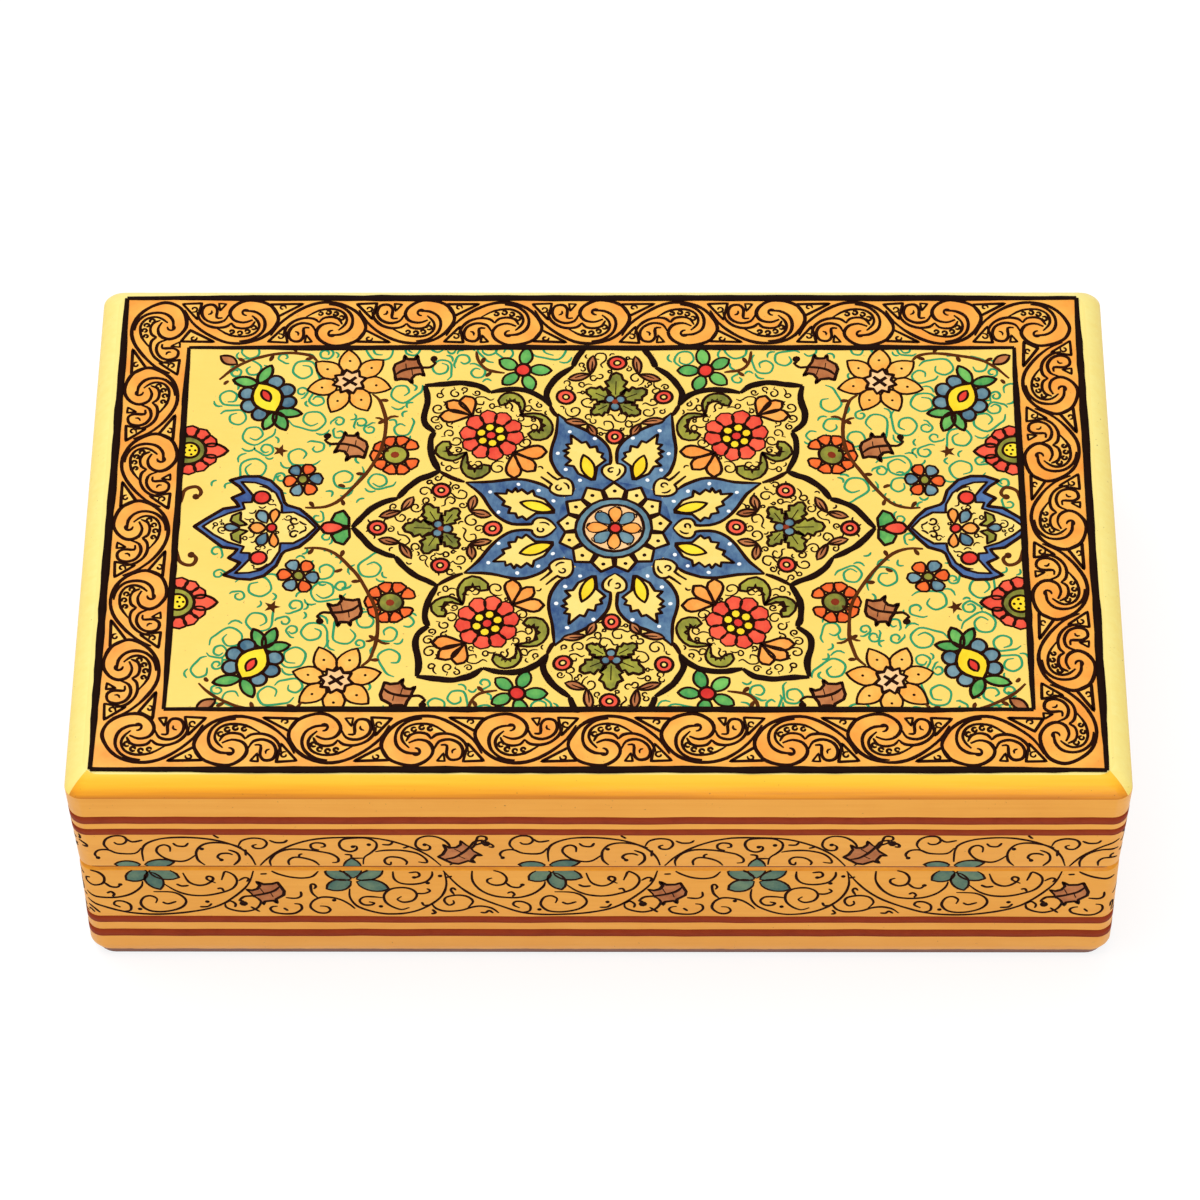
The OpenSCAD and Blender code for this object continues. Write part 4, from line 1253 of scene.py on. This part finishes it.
# %% The vine
PERIOD = 78.0
VINES = [
    (12.7, 31.3, 15, 34.5, 19, 37.8, 24, 39.8, 30, 40.3, 36, 39.8, 41, 37.8, 45, 34.8, 47.5, 31.3),
    (14.8, 31.2, 14.7, 33, 16, 35.2, 18.5, 36.5, 22, 36.4, 25, 35.6, 26.6, 34.9, 27.7, 33.6, 27.6, 32.4, 26.5, 32.2),
    (18.3, 31.4, 18.2, 32.8, 19.2, 33.9, 21, 33.8, 23, 32.8, 24, 31.4), (20.3, 34, 20.4, 34.8, 21, 35.1),
    (24.3, 36.3, 23, 36.8, 22.8, 38, 23.8, 38.6, 25.2, 38.3, 25.4, 37.4, 24.6, 37.2), (36.3, 38, 37.8, 38, 38.4, 38.9),
    (32.5, 31.6, 32.8, 33.8, 34.2, 35.4, 35.2, 37, 35.1, 38.8, 33.4, 40, 30.6, 40, 28.8, 39.6, 28.1, 38.2, 28.6, 36.5,
     30, 35.7, 31.3, 36.3, 31.4, 37.4, 30.5, 37.6), (32.6, 33.6, 30.5, 33.6, 30.2, 34.6, 29, 34.8), (40.4, 36.9, 41.6, 37.4),
    (35, 35.7, 37, 36.2, 40, 36.2, 43, 35.3, 44.6, 33.6, 44.8, 32.3, 43.2, 32.5), (14.8, 39.3, 16, 38.6, 17.6, 38.7, 18.3, 39.5),
    (40.8, 31.6, 41, 32.6, 39.8, 33.8, 37.8, 34.1, 36.8, 33.2, 37, 32, 37.8, 31.7, 38, 32.6), (4.2, 41, 5.2, 40),
    (48.6, 36, 49.5, 37.4, 48.6, 39.2, 46.8, 40.5, 44.6, 40.6, 43.2, 39.5, 43, 37.6, 44.2, 36.3, 45.5, 36.4, 45.7, 37.4, 45, 38.1),
    (8.9, 37.6, 9.6, 39.2, 11.5, 40, 13.6, 39.6, 14.3, 38.2, 13.4, 36.8, 12, 36.8, 11.6, 37.6, 12.4, 38), (10.2, 36.4, 10.1, 34.4),
    (-9.7, 32.6, -9.7, 36, -8.8, 38.2, -6, 39.8, -2, 40.3, 2, 40, 6, 38.8, 9.2, 36.8, 11, 34.2, 11.8, 31.4),
    (2, 31.4, 0.8, 33, 0.6, 35.6, 1.8, 37.8, 4, 38.6, 7, 38.2, 9.4, 37.1), (7.6, 34.7, 6.6, 35.2, 5.2, 35, 4.6, 34, 5.3, 33.2),
    (6.8, 36.3, 8.5, 35.2, 8.8, 33.2, 7.6, 31.4), (0.6, 34.8, -1.2, 33, -3, 32.6, -5.5, 33.6, -6.9, 35.6, -6.6, 37.2, -5.4, 37.9,
                                                   -4.4, 37.2, -4.4, 35.7), (-3.7, 38.5, -3, 37.6, -1.5, 37.5, -0.8, 38.6),
    (-18.6, 33.8, -19, 35, -18.2, 36.2, -16.4, 36.4, -14.5, 35.3, -11.2, 35.2, -9.8, 37), (-12.6, 39.9, -11.4, 38.9, -9.4, 39.4),
    (-16.2, 36.4, -17, 38, -16.5, 39.7, -15, 40.7, -13.2, 40.6, -12.5, 39.4, -13.2, 38.3, -14.4, 38.2, -15, 38.8),
    (-28.8, 31.4, -27, 33.2, -25.5, 35.5, -24, 37.6, -23.5, 39.4, -23, 40.6, -21.7, 40.5, -21.6, 39.5, -22.8, 39.2),
    (-24, 37.7, -22, 38.7, -20.5, 38.1, -20.3, 37.3, -21.2, 37.4), (-24.6, 29.4, -24.5, 26, -22.8, 22.8, -20, 20.8, -16, 20.4,
                                                                  -13, 21.6, -11, 24, -10.5, 26),
    (-21, 29.7, -19, 29, -17.9, 27.2, -18.3, 25.2, -20, 24.6, -21.5, 25.5, -21.6, 26.6, -20.7, 27.1),
    (-18, 25.4, -17, 24.1, -15.6, 23.8, -14.9, 24.7), (-17.8, 21.8, -17, 22.3, -16.4, 21.5, -16.8, 20.7),
    (-15.4, 17, -16.6, 18, -16.2, 19.1, -14.7, 19, -13.4, 17.8, -13.5, 16, -15, 15.5), (-7.2, 18.9, -6.2, 18.2, -4.5, 19),
    (-8.7, 22.4, -5, 22.2, -3, 20.6, -2.6, 18.6, -4, 16.6, -7, 15.5, -9.8, 15.9, -11.3, 18, -10.8, 20.3, -9.4, 21, -8.2, 20,
     -8.5, 18.5), (-30.2, 29.6, -27.5, 24.8, -24, 20.8, -19, 17.5, -14, 15.2, -8, 14.6, -2, 15.4, 3, 17.2, 6.5, 20.2, 10, 25,
                   11.3, 29.5), (-29.7, 27.2, -28.5, 27.6), (-4, 25, -3, 24.3, -1.6, 24.5),
    (-2.5, 28.8, -1.6, 25.8, 0, 24.6, 1.6, 24.8, 3, 26.2, 3.1, 27.3, 2.2, 27.6, 2, 26.6, 3.6, 25.4),
    (-6.4, 25, -4.4, 22.8, -2, 21.4, 1, 21.1, 4, 21.9, 6.6, 23.4, 7.8, 25.8, 7.4, 28, 5.8, 29.3, 5.2, 27.8, 4.8, 26.4),
    (3.8, 23.4, 4.6, 23.6, 5, 22.6), (8.2, 26.2, 9.4, 27.2, 10.2, 26.8, 9.8, 25.8), (12.6, 28.4, 13.9, 28.5),
    (5, 18.4, 6, 19.2, 7, 18.2, 6.8, 17), (5, 18.6, 5.2, 16.9, 7, 15.8, 9, 15.6, 11, 16.6, 12, 18.6, 11.8, 20.2, 10.6, 20.6),
    (9.9, 17.2, 11.5, 15.5), (0, 17.2, 1.6, 17.3, 2.4, 18.4), (14.8, 29.4, 16, 28.4, 18, 27.4, 20.4, 27, 22.4, 27.6, 23.6, 29.4),
    (15.2, 17.4, 14.2, 17.2, 13.7, 16.4, 14.4, 15.3, 16.4, 14.7, 18.6, 14.9, 20, 16.4, 19.8, 18, 18.6, 18.3),
    (16.4, 16.8, 17.2, 15.8), (17, 20.4, 19, 20.2, 20, 21, 20, 22.5), (23.2, 20.3, 22.2, 22, 22, 24.4, 22.5, 25, 23, 24.2, 22.6, 23.3),
    (30.4, 16.6, 29.6, 17.8, 28, 19.4, 26, 20.3, 23.8, 20.4, 22.2, 19, 21.8, 17, 23, 15.3, 24.6, 15, 25.6, 16, 25, 17.2, 23.6, 17.4),
    (29.6, 23.4, 29.5, 20.6, 30.4, 18.2, 32, 16.6, 35, 15.1, 38.5, 14.8, 42, 15.7, 45, 17.8, 47.4, 21, 48.4, 25, 48, 29.4),
    (36.2, 20.4, 34, 20.8, 32.2, 20.6, 31.4, 19.3, 32.2, 18, 33.6, 17.9, 34.2, 18.6, 33.2, 19),
    (41, 17, 39.4, 16.3, 37.6, 17.4, 36.4, 19.2, 36.3, 21.6, 37.6, 23.4, 40, 23.9, 41.9, 23, 42.6, 21.2, 41.8, 19.4, 40, 18.8,
     38.8, 19.8, 39.6, 20.8), (42.4, 21.8, 44, 21.7, 45.2, 22.6, 44.6, 23.5), (38.2, 29.4, 38.3, 27, 39.6, 25.4, 42, 25,
                                                                             44.4, 25.8, 45.6, 27.8, 45.7, 29.4),
    (41.2, 29, 42.8, 29.2, 43.2, 28, 42.2, 27.2), (45, 17.8, 43.9, 17.7, 43.5, 18.8), (45.4, 16.3, 46, 15.2, 45.2, 14.8),
    (58.4, 15.2, 57, 16.8, 55, 17.4, 53, 17, 51, 16, 48, 15.7, 46.2, 16.6, 45.4, 18.2),
    (52.4, 17, 53.4, 19, 52.4, 20.8, 50.4, 21.3, 48.3, 20.6, 47.8, 19.2, 48.6, 17.8, 49.6, 18.4, 49.5, 19.5),
    (49.8, 21.5, 49.2, 23, 49.6, 23.8, 50.2, 23), (54.8, 15.3, 55.8, 15.2, 56.5, 15.9, 57.3, 15.1)]
vine = [m for numbers in VINES for m in line("ink", run(*numbers, steps=4), 0.18)]
vine += [m for spot in pts(30.7, 37.3, 33.8, 37.9, 44.7, 38, -18.5, 33.8, 5.3, 33.1, 1.7, 36.6, 42.2, 27.4, 1.6, 19,
                          26.4, 19.4, 35.5, 17.4, 47.2, 27.8, -14.9, 24.7, -11.6, 16.4, 44.8, 25.4) for m in dot("ink", spot, 0.48)]
for base, tip, half in ((30 + 26.7j, 24.9 + 29.4j, 1.5), (31 + 26.6j, 36.2 + 29.5j, 1.5), (30.4 + 27j, 30.3 + 33.6j, 1.8),
                        (30 + 26j, 25.1 + 23.3j, 1.9), (31 + 25.8j, 37.2 + 23.4j, 1.8), (-10.4 + 31.5j, -15.4 + 31.7j, 1.1),
                        (-9.6 + 31.5j, -3.8 + 32.4j, 1.2), (-9.4 + 29.4j, -13.6 + 26.4j, 1.8),
                        (-9 + 29.4j, -3.3 + 27.2j, 1.7), (-9.2 + 29.2j, -7.3 + 23.2j, 1.7)):
    vine += inked("sage", petal(base, tip, half, 0.5, 0.65), 0.16, 2)
vine += put(maple(), 13.7 + 22.2j, 190, 0.95) + put(maple(), -27 + 34.9j, 60, 0.95, True)
print("vine", len(vine), "marks")

# %% Cutting at the seam


def cut(points, level, keep_above, closed):
    """The parts of a line or an outline on one side of a level."""
    side = [(p.imag - level) * (1 if keep_above else -1) for p in points]
    pieces, piece = [], []
    pairs = list(zip(points, side))
    for (p, a), (q, b) in zip(pairs, pairs[1:] + (pairs[:1] if closed else [])):
        if a >= 0:
            piece.append(p)
        if a * b < 0:
            piece.append(p + (q - p) * a / (a - b))
            if a >= 0 and not closed:
                pieces.append(piece)
                piece = []
    if not closed and side[-1] >= 0:
        piece.append(points[-1])
    return [piece for piece in pieces + [piece] if len(piece) > 1]


def on_wall(marks, long):
    """The marks of one wall: lines end at its corners, and a motif that would cross one is left out."""
    kept = []
    for kind, paint, points, half, closed, level in marks:
        parts = [points] if max(abs(p.real) for p in points) < long else []
        if not parts and kind == "line" and not closed:
            parts = [[p * 1j for p in points]]
            for limit, above in ((long + 0.5, False), (-long - 0.5, True)):
                parts = [part for whole in parts for part in cut(whole, limit, above, False)]
            parts = [[p / 1j for p in part] for part in parts if len(part) > 2]
        kept += [(kind, paint, part, half, closed, level) for part in parts]
    return kept


def dense(points, beyond):
    """The line with more points where it bends round a corner of the box."""
    fine = points[:1]
    for p, q in zip(points, points[1:]):
        parts = math.ceil(abs(q - p) / 0.4) if max(abs(p.real), abs(q.real)) > beyond else 1
        fine += [p + (q - p) * k / parts for k in range(1, parts + 1)]
    return fine


def on_body(marks, body, hinged, end):
    """The marks of one body, clear of the hinges and the rims' chamfers; the lid's wall leans, so marks stretch."""
    kept = []
    for kind, paint, points, half, closed, level in marks:
        near = hinged and min(abs(abs(p.real) - hinge_x) for p in points) < hinge_reach
        gap = 2.6 if near else 1.6 if hinged else 0.04
        height = lid_z + gap if body == "lid" else rim_z - max(gap, RIM + 0.1)
        outline = kind == "fill"
        loop = points + points[:1] if kind == "line" and closed else points
        for piece in cut(loop, height, body == "lid", outline):
            if not outline or len(piece) > 2:
                piece = [complex(p.real, p.imag + 0.1 * max(0, p.imag - seam_z)) for p in piece]
                kept.append((kind, paint, dense(piece, end - 3.2), half, outline and closed, level))
    return kept


leaf_low, leaf_high = room("right_hinge_base_leaf")
hinge_x, hinge_reach = (leaf_low.x + leaf_high.x) / 2, (leaf_high.x - leaf_low.x) / 2 + 1.9
walls = {"base": [], "lid": []}
for wall, (long, start) in enumerate(((99.4, 0), (61.4, 30), (99.4, 17), (61.4, -34))):
    copies = [m for k in (-2, -1, 0, 1, 2) for m in put(vine, start + k * PERIOD)]
    painted = on_wall(copies, long)
    end = (seam_x if wall % 2 == 0 else seam_y) - 3 + 3 * math.pi / 4
    for body in walls:
        marks = on_body(painted, body, wall == 2, end)
        reach = end if body == "base" else end + 0.45
        steps = dense([complex(reach * (2 * i / 60 - 1), 0) for i in range(61)], reach - 3.2)
        for middle, half in ((8.3, 1.2), (12.9, 1.08)) if body == "base" else ((43.1, 1.02), (47.1, 1.2)):
            marks += line("maroon", [p + middle * 1j for p in steps], half, level=3)
        walls[body] += put(marks, wall * SHEET)
for body, marks in walls.items():
    paint_on(body, body + "_wall", marks, lay_wall, 0.5)

# %% [markdown]
# ## Velvet inside
# The inside is lined with velvet glued over card, and thin padded cushions of the same velvet lie on the floor
# and under the top. Velvet is dark where one looks into its pile and pale where it stands edge-on, which the
# shader's sheen gives. The nap is brushed in patches, so noise tilts the colour and the surface a little.

# %% Velvet


def velvet_material():
    material, r = finish("velvet_nap", Roughness=0.9, Specular_IOR_Level=0.15, Sheen_Weight=0.65,
                         Sheen_Roughness=0.35, Sheen_Tint=(0.86, 0.32, 0.38, 1))
    nap = r.grain(r.place, 0.07, detail=3.0)
    pile = r.grain(r.place, 3.2, detail=2.0, rough=0.7)
    colour = r.mix(rgb(124, 22, 40), rgb(84, 10, 26), r.clip(nap * 1.7 - 0.35))
    colour = r.mix(colour, rgb(150, 44, 60), r.clip(pile * 1.5 - 0.72))
    bump = r.node("ShaderNodeBump", {}, {"Strength": 0.6, "Distance": 0.0002, "Height": pile + nap * 0.8})
    feed(r, Base_Color=colour, Normal=bump)
    return material


velvet = velvet_material()


def rounded_card(node, swell=0.0):
    """A velvet-covered card in a node's room, its edges soft and its face a little swollen."""
    low, high = room(node)
    size, middle = high - low, (high + low) / 2
    mesh = bmesh.new()
    bmesh.ops.create_cube(mesh, size=2)
    thin = min(range(3), key=lambda i: size[i])
    wide = [i for i in range(3) if i != thin]
    for axis in wide:
        cuts = [e for e in mesh.edges if abs((e.verts[0].co - e.verts[1].co)[axis]) > 0.1]
        bmesh.ops.subdivide_edges(mesh, edges=cuts, cuts=max(6, min(40, int(size[axis] / 4))), use_grid_fill=True)
    for v in mesh.verts:
        reach = [abs(v.co[axis]) for axis in wide]
        edge = min(1, max(0, (1 - max(1 - (1 - reach[i]) * size[wide[i]] / 2 / 2.2 for i in (0, 1)))))
        edge = max(0.0, edge)
        full = 0.62 + 0.38 * math.sqrt(1 - (1 - edge) ** 2)
        dome = 1 - swell * (0.5 * reach[0] ** 2 + 0.5 * reach[1] ** 2)
        spot = Vector([v.co[i] * size[i] / 2 for i in range(3)])
        ripple = 1 - 0.05 * (1 + noise.noise((spot + middle) / 9))
        spot[thin] *= full * dome * ripple
        for axis in wide:
            spot[axis] *= 1 - (0.12 / size[axis]) * abs(v.co[thin])
        v.co = (spot + middle) * MM
    bmesh.ops.recalc_face_normals(mesh, faces=mesh.faces)
    return plain("card", mesh, 60)


# %% Linings and pads
for body in ("base", "lid"):
    for side in ("front", "back", "left", "right"):
        node = body + "_" + side + "_lining"
        settle(node + "_velvet", rounded_card(node), body, velvet, [node])
for body, node in (("base", "base_floor_pad"), ("lid", "lid_ceiling_pad")):
    settle(node + "_velvet", rounded_card(node, 0.22), body, velvet, [node])

# %% [markdown]
# ## The cloth under the base
# A thin dark cloth is glued under the base so that the box doesn't scratch a table. From the side only its edge
# shows, as a dark line. It is a flat sheet with a woven face.

# %% Underside cloth


def cloth_material():
    material, r = finish("felted_cloth", Roughness=0.95, Specular_IOR_Level=0.1, Sheen_Weight=0.25,
                         Sheen_Roughness=0.5)
    weave = r.grain(r.place, 1.5, (1, 3, 1), 2.0) * 0.5 + r.grain(r.place, 1.5, (3, 1, 1), 2.0) * 0.5
    bump = r.node("ShaderNodeBump", {}, {"Strength": 0.5, "Distance": 0.0001, "Height": weave})
    feed(r, Base_Color=r.mix(rgb(92, 46, 30), rgb(58, 26, 18), weave), Normal=bump)
    return material


low, high = room("underside_cloth")
cloth_mesh = loft("cloth", [ring(high.x, high.y, 3.9, low.z + 0.02), ring(high.x + 0.1, high.y + 0.1, 4, low.z + 0.2),
                            ring(high.x, high.y, 3.9, high.z)], False)
cloth = settle("underside_cloth_sheet", cloth_mesh, "base", cloth_material(), ["underside_cloth"])

# %% [markdown]
# ## Wood, brass and steel
# The boards, hinges, screws and nails are right as they are in the CAD, so they only get their finishes.

# %% Wood and metals


def wood_material():
    material, r = finish("carcass_wood", Roughness=0.7, Specular_IOR_Level=0.3)
    bend = r.grain(r.place, 0.03, (0.2, 1, 1), 2.0)
    split = r.node("ShaderNodeSeparateXYZ", {}, {0: r.place})
    y, z = (Flow(r, split.socket.node.outputs[i]) * (1 / MM) for i in (1, 2))
    rings = r.maths("SINE", (y + z * 1.6) * 1.5 + bend * 16.0)
    pores = r.grain(r.place, 1.6, (0.06, 1, 1), 3.0, 0.7)
    colour = r.mix(rgb(214, 176, 122), rgb(176, 130, 80), r.clip(rings * 0.3 + pores * 0.9 - 0.15))
    bump = r.node("ShaderNodeBump", {}, {"Strength": 0.4, "Distance": 0.0001, "Height": pores})
    feed(r, Base_Color=colour, Normal=bump)
    return material


def metal_material(name, clean, dull, roughness):
    material, r = finish(name, Metallic=1.0)
    tarnish = r.clip(r.grain(r.place, 0.5, detail=5.0) * 2.2 - 0.7)
    scratches = r.grain(r.place, 2.5, (0.1, 1, 1), 3.0)
    bump = r.node("ShaderNodeBump", {}, {"Strength": 0.3, "Distance": 0.00003, "Height": scratches})
    feed(r, Base_Color=r.mix(rgb(*clean), rgb(*dull), tarnish), Normal=bump,
         Roughness=roughness + 0.2 * tarnish + 0.1 * scratches)
    return material


wood = wood_material()
brass = metal_material("hinge_brass", (226, 184, 104), (172, 128, 62), 0.26)
steel = metal_material("nail_steel", (170, 170, 172), (112, 104, 98), 0.38)
for name, thing in frame["nodes"].items():
    found = wood if name.endswith("board") else steel if "nails" in name else brass if "hinge" in name else None
    if found:
        thing.data.materials.clear()
        thing.data.materials.append(found)
print("finished", len(frame["nodes"]), "CAD nodes")
